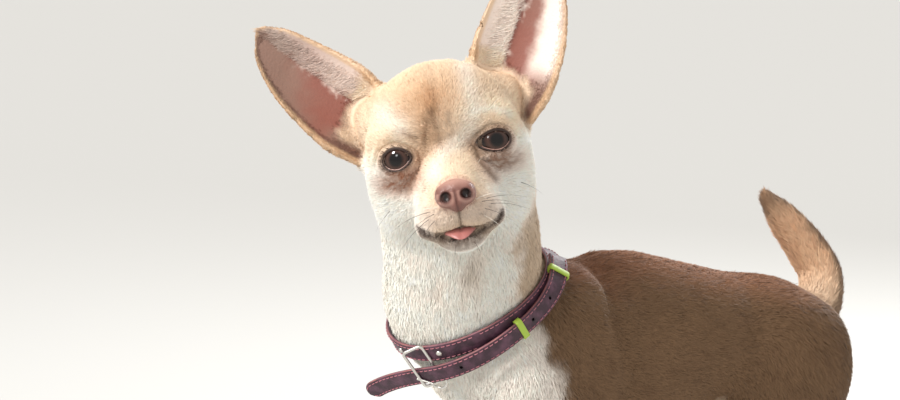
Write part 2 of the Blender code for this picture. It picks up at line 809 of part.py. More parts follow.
def surface(name, colour, roughness, metallic=0.0):
    material = bpy.data.materials.new(name)
    material.use_nodes = True
    shader = material.node_tree.nodes["Principled BSDF"]
    shader.inputs["Base Color"].default_value = (*colour, 1)
    shader.inputs["Roughness"].default_value = roughness
    shader.inputs["Metallic"].default_value = metallic
    return material


def build_head(masses, collection, cutters, looks):
    near = [mass for mass in masses if (Vector(mass.middle) - HEAD_CENTRE).length < 78]
    head = block("head", near, masses, HEAD_MESH, collection, looks["coat"])
    boolean(head, cut_box("below head", HEAD_CUT, -90, GAP / 2, (90, 90), cutters, HEAD))
    keep_largest(head)
    swollen = head.copy()
    swollen.data = head.data.copy()
    cutters.objects.link(swollen)
    points = vertex_array(swollen.data)
    normals = np.empty(len(points) * 3, np.float32)
    swollen.data.vertices.foreach_get("normal", normals)
    set_vertices(swollen.data, points + normals.reshape(-1, 3) * GAP * 1.15 * MM)
    for side in (1, -1):
        ear = ear_sheet(side, collection, looks["ear"])
        boolean(ear, swollen, keep_other=True)
        keep_largest(ear)
    bpy.data.objects.remove(swollen)
    for side, name in ((1, "left"), (-1, "right")):
        socket = ball_object("socket", eye_centre(side), (EYE_RADIUS + GAP,) * 3, cutters, HEAD, 28, 18)
        boolean(head, socket)
        boolean(head, eye_opening(side, cutters))
        radii = (EYE_RADIUS,) * 3
        ball_object(f"eye_{name}", eye_centre(side), radii, collection, HEAD, 16, 10, looks["eye"])
    pad = nose_masses()
    boolean(head, block("nose recess", pad, pad, NOSE_MESH, cutters, level=GAP))
    nose = block("nose", pad, pad, NOSE_MESH, collection, looks["nose"])
    for side in (1, -1):
        nostril = NOSE + Vector((NOSTRIL.x * side, *NOSTRIL.yz))
        boolean(nose, ball_object("nostril", nostril, NOSTRIL_RADII, cutters, HEAD, 12, 8))
    boolean(head, mouth_slit(masses, cutters))
    boolean(head, tongue("tongue room", masses, cutters, grow=GAP * 1.3))
    keep_largest(head)
    tongue("tongue", masses, collection, looks["tongue"])


def build_body(masses, collection, cutters, look):
    """The torso, neck and tail, parted from one mesh, and the legs, meshed more finely for their toes."""
    torso = block("torso", masses, masses, BODY_MESH, collection, look)
    boolean(torso, cut_box("above neck", HEAD_CUT, -GAP / 2, 110, (90, 90), cutters, HEAD))
    for side in (1, -1):
        boolean(torso, cut_box("foreleg", mirrored(FORELEG_CUT, side), -130, GAP / 2, (27, 60), cutters))
        boolean(torso, cut_box("hindleg", mirrored(HINDLEG_CUT, side), -150, GAP / 2, (32, 75), cutters))
    boolean(torso, cut_box("neck cut", NECK_CUT, -GAP / 2, GAP / 2, (75, 75), cutters))
    boolean(torso, cut_box("tail cut", TAIL_CUT, -GAP / 2, GAP / 2, (22, 22), cutters))
    groups = islands(torso)
    points = vertex_array(torso.data)
    middles = [points[list(group)].mean(axis=0) for group in groups]
    neck_group = groups[int(np.argmax([middle[2] for middle in middles]))]
    low = HINDLEG_CUT[0].z * MM
    upper = [(middle[1], group) for middle, group in zip(middles, groups) if middle[2] > low]
    tail_group = max(upper, key=lambda found: found[0])[1]
    for name, group in (("neck", neck_group), ("tail", tail_group)):
        piece = torso.copy()
        piece.data = torso.data.copy()
        piece.name = name
        collection.objects.link(piece)
        keep_vertices(piece, group)
    keep_vertices(torso, groups[0])
    kinds = (
        ("foreleg", foreleg_masses, FORELEG_CUT, FORE_PAW),
        ("hindleg", hindleg_masses, HINDLEG_CUT, HIND_PAW),
    )
    for side, where in ((1, "left"), (-1, "right")):
        for kind, own, cut, paw in kinds:
            leg = block(f"{kind}_{where}", own(side), masses, LEG_MESH, collection, look)
            boolean(leg, cut_box("above", mirrored(cut, side), -GAP / 2, 80, (80, 80), cutters))
            keep_largest(leg)
            boolean(leg, claws(paw, side, cutters), "UNION")


def build_collar(masses, collection, cutters, looks):
    line = collar_line(masses)
    course = strap_course(line)
    collar_band(line, collection, looks["leather"])
    collar_strap(course, collection, looks["leather"])
    collar_buckle(line, course, collection, cutters, looks["metal"])
    collar_ring(course, collection, looks["metal"])
    for name, degrees in zip(("front", "back"), KEEPER_ANGLES):
        keeper(f"collar_keeper_{name}", degrees, course, collection, looks["keeper"])
    for name, degrees in zip(("left", "right"), RIVET_ANGLES):
        rivet(f"collar_rivet_{name}", degrees, line, collection, looks["metal"])


def stand_on_origin(collection):
    """Moves every mesh so that the middle of the feet's level under the whole model is the origin."""
    corners = [obj.matrix_world @ Vector(corner) for obj in collection.objects for corner in obj.bound_box]
    low = Vector([min(corner[axis] for corner in corners) for axis in range(3)])
    high = Vector([max(corner[axis] for corner in corners) for axis in range(3)])
    shift = Matrix.Translation((-(low.x + high.x) / 2, -(low.y + high.y) / 2, -low.z))
    for obj in collection.objects:
        obj.data.transform(shift)


def main():
    for obj in list(bpy.data.objects):
        bpy.data.objects.remove(obj)
    collection = bpy.data.collections.new("chihuahua")
    cutters = bpy.data.collections.new("cutters")
    for made in (collection, cutters):
        bpy.context.scene.collection.children.link(made)
    looks = {
        "coat": surface("fawn coat", (0.5, 0.3, 0.16), 0.85),
        "ear": surface("ear skin and coat", (0.6, 0.36, 0.27), 0.7),
        "nose": surface("nose leather", (0.38, 0.16, 0.14), 0.35),
        "eye": surface("eye", (0.02, 0.01, 0.008), 0.05),
        "tongue": surface("tongue", (0.7, 0.22, 0.22), 0.4),
        "leather": surface("collar leather", (0.07, 0.025, 0.05), 0.5),
        "metal": surface("collar metal", (0.75, 0.75, 0.75), 0.25, 1.0),
        "keeper": surface("green keeper", (0.3, 0.5, 0.05), 0.5),
    }
    masses = all_masses()
    build_head(masses, collection, cutters, looks)
    build_body(masses, collection, cutters, looks["coat"])
    build_collar(masses, collection, cutters, looks)
    bpy.context.view_layer.update()
    stand_on_origin(collection)


main()
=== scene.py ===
"""A smooth-coated chihuahua that stands with its head turned and tilted, in a worn leather collar.

Shapes are worked out in millimetres in the dog's own frame: it faces -Y, +X is its left side and +Z is up.
The head's frame has its origin in the middle of the skull and -Y along the muzzle.
"""

import json
import math

import bmesh
import bpy
import numpy as np
from mathutils import Matrix, Vector
from mathutils.bvhtree import BVHTree

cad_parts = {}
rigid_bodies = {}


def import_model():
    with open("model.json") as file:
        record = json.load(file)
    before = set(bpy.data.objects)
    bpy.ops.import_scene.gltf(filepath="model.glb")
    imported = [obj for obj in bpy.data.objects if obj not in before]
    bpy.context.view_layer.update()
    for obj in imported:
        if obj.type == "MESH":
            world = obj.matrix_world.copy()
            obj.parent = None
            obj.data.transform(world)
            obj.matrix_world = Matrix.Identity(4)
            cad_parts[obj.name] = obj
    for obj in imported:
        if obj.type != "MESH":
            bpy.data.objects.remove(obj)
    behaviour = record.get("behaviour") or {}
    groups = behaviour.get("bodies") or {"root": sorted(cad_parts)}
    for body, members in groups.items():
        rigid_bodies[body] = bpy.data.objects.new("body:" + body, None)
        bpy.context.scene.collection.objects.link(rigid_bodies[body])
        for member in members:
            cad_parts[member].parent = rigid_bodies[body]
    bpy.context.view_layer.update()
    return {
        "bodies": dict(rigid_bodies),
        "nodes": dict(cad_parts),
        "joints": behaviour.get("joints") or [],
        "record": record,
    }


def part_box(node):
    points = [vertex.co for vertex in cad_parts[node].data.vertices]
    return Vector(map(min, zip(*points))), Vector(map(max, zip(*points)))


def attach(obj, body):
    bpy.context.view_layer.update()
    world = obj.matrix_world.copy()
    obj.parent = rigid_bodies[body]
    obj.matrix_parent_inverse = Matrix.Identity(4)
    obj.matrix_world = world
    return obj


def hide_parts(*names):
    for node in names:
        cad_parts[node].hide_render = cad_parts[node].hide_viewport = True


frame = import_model()
MM = 0.001

# What a distance reads where nothing is near, in millimetres
FAR = 60.0

# Landmarks of the standing body
ELBOW = Vector((29, 4, 118))
WRIST = Vector((28, -4, 44))
FORE_PAW = Vector((28, -10, 0))
STIFLE = Vector((30, 102, 108))
HOCK = Vector((26, 154, 60))
HIND_PAW = Vector((26, 145, 0))
TOES = ((-8, -6.5), (-2.9, -11.5), (2.9, -11.5), (8, -6.5))
TOE_RADII = (3.9, 8.2, 7.1)
TAIL_LINE = (
    (-1, 142, 162, 13), (-5, 160, 169, 12), (-11, 167, 184, 11.3),
    (-16, 161, 199, 10.5), (-20, 151, 213, 8.5), (-22, 142, 224, 4.5),
)

# The head
HEAD_CENTRE = Vector((31.3, -83.2, 277))
HEAD_TURN = 60
HEAD_NOD = -7
HEAD_TILT = -11.4
EYE = Vector((21.3, -25, -10.7))
EYE_RADIUS = 9.3
EYE_OUTWARD = 14
EYE_SLANT = 0.06
LID = 1.5

# How far the opening between the lids reaches outward, inward, up and down. 1 is the left eye, -1 the right.
LID_OUTER = 6.6
LID_INNER = {1: 7.9, -1: 6.5}
LID_UPPER = {1: 4.4, -1: 4.9}
LID_LOWER = 4.9

NOSE = Vector((0, -59.5, -30.5))
MOUTH_HALF_WIDTH = 18.8
MOUTH_CORNER_HEIGHT = -41.8
MOUTH_SAG = 4.9

# Each ear's inner and outer margin, from inside the skull out to the tip, on the dog's left and right
EAR_MARGINS = {
    1: (
        ((16, 6, 18), (21.5, 5, 34), (27, 7, 44), (36, 9, 57), (47, 12, 69), (59, 14, 74)),
        ((34, 0, -12), (49, -2, 2), (58, 0, 15), (65, 5, 31), (68.5, 10, 52), (63, 14, 72)),
    ),
    -1: (
        ((-20, 6, 16), (-28.5, 5, 32.5), (-38, 7, 42), (-50, 9, 51.5), (-62, 11, 60), (-72.5, 13, 64)),
        ((-34, 0, -13), (-50, -2, -2), (-60, 0, 9), (-72.5, 4, 29), (-78.5, 9, 48), (-77, 13, 61)),
    ),
}
EAR_CUP = 15
EAR_ROWS = 6
EAR_COLUMNS = 24

# A claw's line by its places behind and above the toe's middle, each with a radius
CLAW_LINE = ((-4.6, 7.6, 1.5), (-9, 6.4, 1.25), (-11.3, 4.4, 0.75), (-12.1, 2.4, 0.25))

# The collar
COLLAR_CENTRE = Vector((6.5, -55.5, 189))
COLLAR_NORMAL = Vector((0.137, -0.511, 0.848)).normalized()
COLLAR_WIDTH = 9.5
COLLAR_THICKNESS = 2.0
COLLAR_POINTS = 60
COLLAR_GAP = 0.9
CURVE_STEPS = 4
BUCKLE_ANGLE = -48
BUCKLE_LENGTH = 9
KEEPER_ANGLES = (33, 80)
KEEPER_WIDTH = 3.2
KEEPER_THICKNESS = 0.8
RIVET_ANGLES = (-32, -68)
STRAP_START = 93
STRAP_DROP = 10.3
STRAP_LIFT = 3.4
STRAP_TAIL = 38.5
STRAP_DROOP = 7.5
STRAP_STEPS = 36
STRAP_CURL = 1.5
WIRE_RADIUS = 0.75
WIRE_GAP = 0.05
PRONG_RADII = (0.62, 0.4)
RING_RADIUS = 5
RING_WIRE = 0.6
RIVET_RADIUS = 1.5
HOLE_ANGLES = (61, 43, -19)
HOLE_RADIUS = 0.8
STRIP_SIDES = 28
STITCH = 2.7
THREAD_RADIUS = 0.21

# How fine the skin is, and about how many triangles it keeps before the face is refined
SKIN_VOXEL = 1.05
SKIN_TRIANGLES = 150000
SKIN_OFF_FLOOR = 0.4

# Each part's tufts: their length and width, and how many stand on a square millimetre
TUFTS = {
    "head": (5.2, 0.42, 4.6), "neck": (5.6, 0.45, 4.2), "torso": (5.6, 0.5, 3.6),
    "tail": (7.5, 0.55, 4.0), "foreleg": (5.2, 0.5, 2.4), "hindleg": (5.8, 0.5, 2.4),
}
# What the face adds to the head's three numbers, and the ear's, whose fringe adds to its length
FACE_TUFTS = (-2.9, -0.1, 3.0)
EAR_TUFTS = (1.5, 0.3, 5.5)
FRINGE_LENGTH = 4.2
# Under a height on the paws, the deepest coat and the longest tufts
PAW_COAT = (25, 0.8)
PAW_TUFTS = (30, 3.2)
MOST_TUFTS = 66000
TUFTS_OFF_FLOOR = 0.15
# A tuft's five vertices: its three triangles, how pale each is, darker at the root as painted shade among
# the hairs, and its patch of the UV map
TUFT_TRIANGLES = np.array((0, 1, 3, 0, 3, 2, 2, 3, 4))
TUFT_ROOT_SHADE = np.array((0.86, 0.86, 0.98, 0.98, 1.03))
TUFT_PATCH = np.array(((0, 0), (1, 0), (0.05, 0.5), (0.95, 0.5), (0.5, 1))) * 0.003


def head_frame():
    turn = Matrix.Rotation(math.radians(HEAD_TURN), 4, "Z")
    nod = Matrix.Rotation(math.radians(HEAD_NOD), 4, "X")
    tilt = Matrix.Rotation(math.radians(HEAD_TILT), 4, "Y")
    return Matrix.Translation(HEAD_CENTRE) @ turn @ nod @ tilt


HEAD = head_frame()
HEAD_TURNS = np.array(HEAD.to_3x3())
HEAD_AT = np.array(HEAD.translation)
BODY = Matrix.Identity(4)
eye_low, eye_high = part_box("eye_left")
SHIFT = np.array((eye_low + eye_high) / 2 / MM - HEAD @ EYE)


def in_head(points):
    """Body points in the head's frame."""
    return (points - HEAD_AT) @ HEAD_TURNS


def from_head(points):
    return points @ HEAD_TURNS.T + HEAD_AT


def spline(points, steps):
    """Points along a smooth curve through the given ones, which may hold any count of numbers."""
    line = np.array(points, float)
    padded = np.vstack((2 * line[0] - line[1], line, 2 * line[-1] - line[-2]))
    found = []
    for a, b, c, d in zip(padded, padded[1:], padded[2:], padded[3:]):
        slope = (c - a) / 2
        square = a - 2.5 * b + 2 * c - d / 2
        cube = 1.5 * (b - c) + (d - a) / 2
        for t in np.arange(steps) / steps:
            found.append(b + t * slope + t**2 * square + t**3 * cube)
    return np.vstack((found, line[-1]))


def smooth_min(a, b, blend):
    """The smaller of two distances, rounded over a blend where they meet."""
    share = np.clip(0.5 + 0.5 * (b - a) / blend, 0, 1)
    return b + (a - b) * share - blend * share * (1 - share)


def ridge(value, at, width):
    """From 1 where a value is the given one to 0 away from it."""
    return np.exp(-(((value - at) / width) ** 2))


def unit(vectors):
    return vectors / np.maximum(np.linalg.norm(vectors, axis=-1, keepdims=True), 1e-9)


def unit_ball():
    bm = bmesh.new()
    bmesh.ops.create_icosphere(bm, subdivisions=3, radius=1)
    points = np.array([vert.co[:] for vert in bm.verts])
    faces = np.array([[vert.index for vert in face.verts] for face in bm.faces])
    bm.free()
    return points, faces


UNIT_BALL = unit_ball()


class Ball:
    """An ellipsoid mass. Its centre, radii and turn in degrees are in a frame."""

    def __init__(self, centre, radii, blend, turn=(0, 0, 0), frame=BODY):
        place = Matrix.Translation(centre)
        for degrees, axis in zip(turn, "XYZ"):
            place = place @ Matrix.Rotation(math.radians(degrees), 4, axis)
        self.place = frame @ place
        self.turns = np.array(self.place.to_3x3())
        self.radii = np.array(radii, float)
        self.blend = blend
        self.middle = np.array(self.place.translation)
        self.reach = max(radii)

    def distance(self, points):
        local = (points - self.middle) @ self.turns
        near = np.linalg.norm(local / self.radii, axis=1)
        slope = np.linalg.norm(local / self.radii**2, axis=1)
        return near * (near - 1) / np.maximum(slope, 1e-6)

    def rough(self):
        """The vertices of unit balls put in place."""
        return [(UNIT_BALL[0] * self.radii) @ self.turns.T + self.middle]


class Tube:
    """A limb's mass along a smooth line through points that each hold x, y, z and a radius."""

    def __init__(self, line, blend, frame=BODY, steps=4):
        line = spline(line, steps)
        turn = np.array(frame.to_3x3())
        self.centres = line[:, :3] @ turn.T + np.array(frame.translation)
        self.radii = line[:, 3]
        self.blend = blend
        self.middle = self.centres.mean(axis=0)
        self.reach = (np.linalg.norm(self.centres - self.middle, axis=1) + self.radii).max()

    def distance(self, points):
        found = np.full(len(points), np.inf)
        for start, end, r0, r1 in zip(self.centres, self.centres[1:], self.radii, self.radii[1:]):
            along = end - start
            share = np.clip((points - start) @ along / (along @ along), 0, 1)
            away = np.linalg.norm(points - start - share[:, None] * along, axis=1)
            found = np.minimum(found, away - r0 - share * (r1 - r0))
        return found

    def rough(self):
        return [UNIT_BALL[0] * radius + centre for centre, radius in zip(self.centres, self.radii)]


def torso_masses():
    return [
        Ball((0, 34, 161), (36, 64, 47), 20, (-7, 0, 0)),
        Ball((2, -26, 160), (33, 37, 43), 22),
        Ball((0, 94, 163), (30, 50, 30), 20, (-8, 0, 0)),
        Ball((0, 126, 154), (30, 32, 31), 18, (-18, 0, 0)),
        Ball((24, -6, 168), (13, 25, 34), 16, (18, 0, 0)),
        Ball((-24, -6, 168), (13, 25, 34), 16, (18, 0, 0)),
    ]


def neck_masses():
    nape = (
        (5, -24, 178, 32), (10, -48, 196, 28.5), (19, -56, 216, 29.5),
        (25, -62, 236, 29), (26, -66, 252, 27),
    )
    throat = (
        (0, -34, 172, 34), (4.2, -61, 190, 32.3), (13, -69, 214, 31),
        (18, -76, 232, 29), (20, -80, 248, 27),
    )
    return [Tube(nape, 14), Tube(throat, 14)]


def paw_masses(place):
    """A tight oval foot of a pad and four toes, the middle two further forward."""
    middle = Vector(place)
    found = [Ball(middle + Vector((0, 3, 10)), (10.5, 13.5, 11), 6)]
    for across, ahead in TOES:
        found.append(Ball(middle + Vector((across, ahead, TOE_RADII[2] - 0.7)), TOE_RADII, 1.6))
    return found


def foreleg_masses(side):
    upper = ((27 * side, -38, 152, 17), (30 * side, -14, 130, 16), (ELBOW.x * side, *ELBOW.yz, 13.5))
    lower = (
        (ELBOW.x * side, *ELBOW.yz, 13.5), (29 * side, 1, 92, 11), (28.5 * side, -1, 68, 8.8),
        (WRIST.x * side, *WRIST.yz, 8.3), (FORE_PAW.x * side, FORE_PAW.y + 3, 16, 7.4),
    )
    return [Tube(upper, 14), Tube(lower, 7), *paw_masses((FORE_PAW.x * side, FORE_PAW.y, 0))]


def hindleg_masses(side):
    lower = (
        (STIFLE.x * side, *STIFLE.yz, 14.5), (30 * side, 112, 100, 14.5), (28.5 * side, 133, 80, 10.5),
        (HOCK.x * side, *HOCK.yz, 7.6),
    )
    pastern = (
        (HOCK.x * side, HOCK.y + 1, HOCK.z + 3, 7), (26 * side, HOCK.y - 1, 45, 7.2),
        (HIND_PAW.x * side, HIND_PAW.y + 4, 17, 7),
    )
    return [
        Ball((21 * side, 126, 138), (16.5, 31, 40), 16, (-28, 0, 0)),
        Ball((15 * side, 143, 140), (15, 17, 28), 12),
        Tube(lower, 10),
        Tube(pastern, 4),
        *paw_masses((HIND_PAW.x * side, HIND_PAW.y, 0)),
    ]


def eye_centre(side):
    return Vector((EYE.x * side, *EYE.yz))


def head_masses():
    found = [
        Ball((0, 3, -1), (36, 39, 33), 10, frame=HEAD),
        Ball((0, -17, 7), (28, 21, 21.5), 10, frame=HEAD),
        Ball((0, 24, -2), (27, 20, 24), 12, frame=HEAD),
        Ball((0, -20, -29), (21, 22, 17), 12, frame=HEAD),
    ]
    for side in (1, -1):
        found += [
            Ball((20 * side, -19, 0), (14, 13, 8), 7, frame=HEAD),
            Ball((27 * side, -10, -13), (10.5, 17, 12), 8, frame=HEAD),
            Ball((23 * side, 0, -28), (14, 20, 18), 12, frame=HEAD),
            Ball((28 * side, 10, 8), (8.5, 13, 12.5), 10, (0, 40 * side, 0), HEAD),
        ]
    found += [
        Tube(((0, -26, -23, 15), (0, -42, -27.5, 11.5), (0, -53, -30.5, 9.5)), 8, HEAD),
        Tube(((8, -34, -36, 10.5), (7.5, -44, -38, 9), (5.5, -52, -38.5, 7.2)), 6, HEAD),
        Tube(((-8, -34, -36, 10.5), (-7.5, -44, -38, 9), (-5.5, -52, -38.5, 7.2)), 6, HEAD),
        Tube(((0, -10, -40, 16), (0, -28, -45, 12.5), (0, -44, -48, 8.5)), 5, HEAD),
        Ball((0, -38, -47), (13, 12, 8.5), 5, frame=HEAD),
    ]
    for side in (1, -1):
        corner = (
            (12.5 * side, -44, -44, 4.8), (16 * side, -36, -43, 4.6), (14.5 * side, -26, -39.5, 4.6),
            (11 * side, -14, -36, 4.5),
        )
        found.append(Tube(corner, 5, HEAD))
    found += [Ball(eye_centre(side), (EYE_RADIUS + LID,) * 3, 3, frame=HEAD) for side in (1, -1)]
    return found


def nose_masses():
    found = [
        Ball(NOSE, (8.2, 6, 6.6), 3, frame=HEAD),
        Ball(NOSE + Vector((0, -1.2, -5)), (3, 4, 3.4), 3, frame=HEAD),
    ]
    for side in (1, -1):
        found.append(Ball(NOSE + Vector((5.3 * side, -0.6, -0.6)), (3.9, 5.2, 4.8), 2, frame=HEAD))
    return found


GROUPS = {
    "torso": torso_masses(),
    "neck": neck_masses(),
    "tail": [Tube(TAIL_LINE, 8)],
    "head": head_masses(),
}
for side, where in ((1, "left"), (-1, "right")):
    GROUPS[f"foreleg_{where}"] = foreleg_masses(side)
    GROUPS[f"hindleg_{where}"] = hindleg_masses(side)
MASSES = [mass for group in GROUPS.values() for mass in group]


def flesh_distance(points, masses=MASSES):
    """Signed distance, in millimetres, from the blended outside of the masses, good near that surface."""
    found = np.full(len(points), FAR)
    for mass in masses:
        near = np.linalg.norm(points - mass.middle, axis=1) < mass.reach + mass.blend + 14
        found[near] = smooth_min(found[near], mass.distance(points[near]), mass.blend)
    return found


class Ear:
    """The middle surface of a cupped ear leaf, which gives places their distance and spot on it."""

    def __init__(self, side):
        inner, outer = (spline(margin, EAR_ROWS) for margin in EAR_MARGINS[side])
        self.side = side
        self.rows = len(inner) - 1
        along = np.arange(len(inner)) / self.rows
        width = np.linalg.norm(outer - inner, axis=1)
        depth = EAR_CUP * (1 - along) ** 0.8 * np.minimum(1, width / 30)
        share = np.linspace(0, 1, EAR_COLUMNS + 1)
        grid = inner[:, None] + (outer - inner)[:, None] * share[None, :, None]
        grid[..., 1] += depth[:, None] * np.sin(math.pi * share)[None, :] ** 0.8
        self.grid = from_head(grid.reshape(-1, 3)).reshape(grid.shape)
        corners = self.grid.reshape(-1, 3)
        line = EAR_COLUMNS + 1
        self.faces = [
            (r * line + c, r * line + c + 1, (r + 1) * line + c + 1, (r + 1) * line + c)
            for r in range(self.rows) for c in range(EAR_COLUMNS)
        ]
        self.tree = BVHTree.FromPolygons([tuple(v) for v in corners], self.faces)
        self.middle = corners.mean(axis=0)
        self.reach = np.linalg.norm(corners - self.middle, axis=1).max()

    def nearest(self, points):
        """The distance, the shares from root to tip and from inner to outer margin, and 1 in front."""
        spots, normals, faces, distances = zip(*(self.tree.find_nearest(point) for point in points))
        spots, normals, faces = np.array(spots), np.array(normals), np.array(faces)
        row, column = faces // EAR_COLUMNS, faces % EAR_COLUMNS
        corner = self.grid[row, column]
        down = self.grid[row + 1, column] - corner
        across = self.grid[row, column + 1] - corner
        offset = spots - corner
        along = np.clip((offset * down).sum(1) / (down * down).sum(1), 0, 1)
        over = np.clip((offset * across).sum(1) / (across * across).sum(1), 0, 1)
        forward = -(normals @ HEAD_TURNS[:, 1])
        facing = np.sign(((points - spots) * normals).sum(1)) * np.sign(forward)
        return np.array(distances), (row + along) / self.rows, (column + over) / EAR_COLUMNS, facing

    def distance(self, points):
        """Signed distance from the leaf, which thins from its root to its rim."""
        away, along, _, _ = self.nearest(points)
        return away - (1.9 - 1.1 * np.clip(along * 1.6, 0, 1))

    def rough(self):
        """A plain leaf with some thickness."""
        bm = bmesh.new()
        verts = [bm.verts.new(point) for point in self.grid.reshape(-1, 3)]
        for face in self.faces:
            bm.faces.new([verts[i] for i in face])
        leaf = new_object("ear leaf", bm)
        apply_modifier(leaf, "SOLIDIFY", thickness=3.0, offset=0, use_even_offset=True)
        return leaf


EARS = [Ear(1), Ear(-1)]


# Folds of the face by lines across and up in the head's frame, and of the body by lines in its own frame.
# Each has a width and a height in millimetres. Those that start behind -60 on Y are on both sides.
FACE_FOLDS = (
    (((-0.5, 24), (-0.5, 8), (-0.5, -4)), 3.4, -0.8),
    (((-5, 4), (-7, -4)), 1.5, -0.4),
    (((3.5, 4), (4.5, -4)), 1.5, -0.35),
    (((-13, 1), (-20, 2.5), (-27, 0)), 2.4, 0.5),
    (((13, 1), (20, 2.5), (27, 0)), 2.4, 0.5),
    (((-12, -12), (-14, -18), (-18, -26)), 1.6, -0.45),
    (((12, -12), (14, -18), (18, -27)), 1.6, -0.45),
    (((0, -38.5), (0, -45)), 0.9, -0.6),
)
BODY_FOLDS = (
    (((8, 12, 207), (24, 11, 198), (35, 9, 185), (39, 13, 166), (36, 20, 145)), 4.5, -2.0),
    (((30, -40, 178), (34, -22, 192), (22, -8, 206)), 5.0, -0.9),
    (((36, 88, 150), (30, 96, 170), (22, 100, 186)), 6.0, -0.9),
    (((30, 96, 104), (33, 92, 122), (31, 84, 140)), 4.0, -0.8),
    (((47, -77, 216), (42, -78, 199), (38, -76, 186)), 3.0, -0.6),
    (((36, -88, 214), (32, -88, 200)), 3.0, -0.5),
    (((28, -62, 160), (30, -52, 146)), 3.5, -0.6),
    (((12, -70, 158), (12, -64, 140)), 3.5, -0.6),
)


def relief(points):
    """The folds and swellings of the skin, in millimetres outwards."""
    local = in_head(points)
    x, y, z = local.T
    flat = local[:, (0, 2)]
    found = np.zeros(len(points))
    for line, width, height in FACE_FOLDS:
        found += height * stroke(flat, line, width)
    for socket in SOCKETS:
        ring = socket.around(local)
        upper = step(socket.local(local)[:, 1], -1.5, 1.5)
        found += 0.4 * ridge(ring, 0.9, 0.7)
        found += upper * (0.4 * ridge(ring, 4.3, 1.3) - 0.6 * ridge(ring, 2.6, 0.6))
        found += (1 - upper) * (0.3 * ridge(ring, 2.4, 0.8) - 0.4 * ridge(ring, 4, 0.9))
    found *= step(-y, 4, 16)
    above = z - mouth_height(x)
    below = -above - mouth_gape(x)
    lips = 0.4 * ridge(above, 1, 1.3) + 0.25 * ridge(below, 1.6, 1.6)
    found += lips * (np.abs(x) < MOUTH_HALF_WIDTH) * step(-y, 27, 34)
    as_left = np.abs(points * (1, 0, 0)) + points * (0, 1, 1)
    for line, width, height in BODY_FOLDS:
        found += height * stroke(as_left if line[0][1] > -60 else points, line, width)
    found += 0.35 * noise(points * (1, 1, 0.4), 9, 41) * step(-y, -60, 0) * step(points[:, 2], 120, 160)
    return found


def skin_distance(points):
    """The flesh with its folds, and with its ears grown on."""
    found = flesh_distance(points)
    near = np.abs(found) < 9
    found[near] -= relief(points[near])
    for ear in EARS:
        near = np.linalg.norm(points - ear.middle, axis=1) < ear.reach + 12
        near[near] = found[near] > -8
        if near.any():
            found[near] = smooth_min(found[near], ear.distance(points[near]), 5)
    return found


def smooth_max(a, b, blend):
    return -smooth_min(-a, -b, blend)


class Socket:
    """The opening between an eye's lids, along its gaze."""

    def __init__(self, side):
        turn = math.radians(EYE_OUTWARD) * side
        ahead = Vector((math.sin(turn), -math.cos(turn), EYE_SLANT)).normalized()
        outward = (Vector((side, 0, 0)) - ahead * ahead.x * side).normalized()
        up = outward.cross(ahead).normalized() * -side
        self.side = side
        self.centre = np.array(eye_centre(side))
        self.axes = np.array((outward, up, ahead))

    def local(self, points):
        """Places in the head's frame as distances outward, up and ahead of the eye's centre."""
        return (points - self.centre) @ self.axes.T

    def around(self, points):
        """How far outside the almond between the lids a place is, across the gaze."""
        out, up = self.local(points).T[:2]
        height = np.where(up > 0, LID_UPPER[self.side], LID_LOWER)
        outer = (np.abs(out) / LID_OUTER) ** 2
        inner = (np.abs(out) / LID_INNER[self.side]) ** 1.6
        wide = np.where(out > 0, outer, inner)
        ring = np.sqrt(wide + (np.abs(up) / height) ** 1.8)
        return (ring - 1) * LID_LOWER

    def carve(self, points):
        """Signed distance from the hollow that the eyeball shows through."""
        ahead = self.local(points)[:, 2]
        depth = EYE_RADIUS - 1.2 - np.linalg.norm(points - self.centre, axis=1)
        return np.maximum(np.maximum(self.around(points), depth), 3 - ahead)

    def margin(self, angles, out=0.0, lift=0.0):
        """Points round the lids' edge on the eyeball, in the head's frame."""
        outer = np.cos(angles) * (LID_OUTER + out)
        inner = -np.abs(np.cos(angles)) ** 1.25 * (LID_INNER[self.side] + out)
        wide = np.where(np.cos(angles) > 0, outer, inner)
        rise = np.sign(np.sin(angles)) * np.abs(np.sin(angles)) ** 1.111
        high = rise * (np.where(np.sin(angles) > 0, LID_UPPER[self.side], LID_LOWER) + out)
        ahead = np.sqrt((EYE_RADIUS + lift) ** 2 - wide**2 - high**2)
        return self.centre + np.stack((wide, high, ahead), axis=1) @ self.axes


SOCKETS = [Socket(1), Socket(-1)]


def mouth_height(across):
    """The height of the upper lip's edge."""
    share = 1 - (np.abs(across) / MOUTH_HALF_WIDTH) ** 4
    return MOUTH_CORNER_HEIGHT - MOUTH_SAG * share + 1.4 * ridge(across, 0, 4.5)


def mouth_gape(across):
    """How far the lips are apart, most round the tongue."""
    return 1.1 + 3.4 * np.exp(-((across + 1) / 8) ** 4)


def front_of_head(across, height):
    """How far along the head's Y axis its front surface lies."""
    tries = np.arange(-85, 0, 0.5)
    local = np.stack((np.full_like(tries, across), tries, np.full_like(tries, height)), axis=1)
    return tries[np.argmax(flesh_distance(from_head(local)) < 0)]


LIP_ACROSS = np.linspace(-MOUTH_HALF_WIDTH, MOUTH_HALF_WIDTH, 25)
LIP_FRONT = np.array([front_of_head(x, mouth_height(x) - 1) for x in LIP_ACROSS])


def behind_lips(local):
    """How far behind the front of the lips a place is."""
    return local[:, 1] - np.interp(local[:, 0], LIP_ACROSS, LIP_FRONT)


def off_mouth(local):
    """How far outside the mouth's opening a place is."""
    above = local[:, 2] - mouth_height(local[:, 0])
    below = -above - mouth_gape(local[:, 0])
    beside = np.abs(local[:, 0]) - MOUTH_HALF_WIDTH
    return np.max((above, below, beside, behind_lips(local) - 4), axis=0)


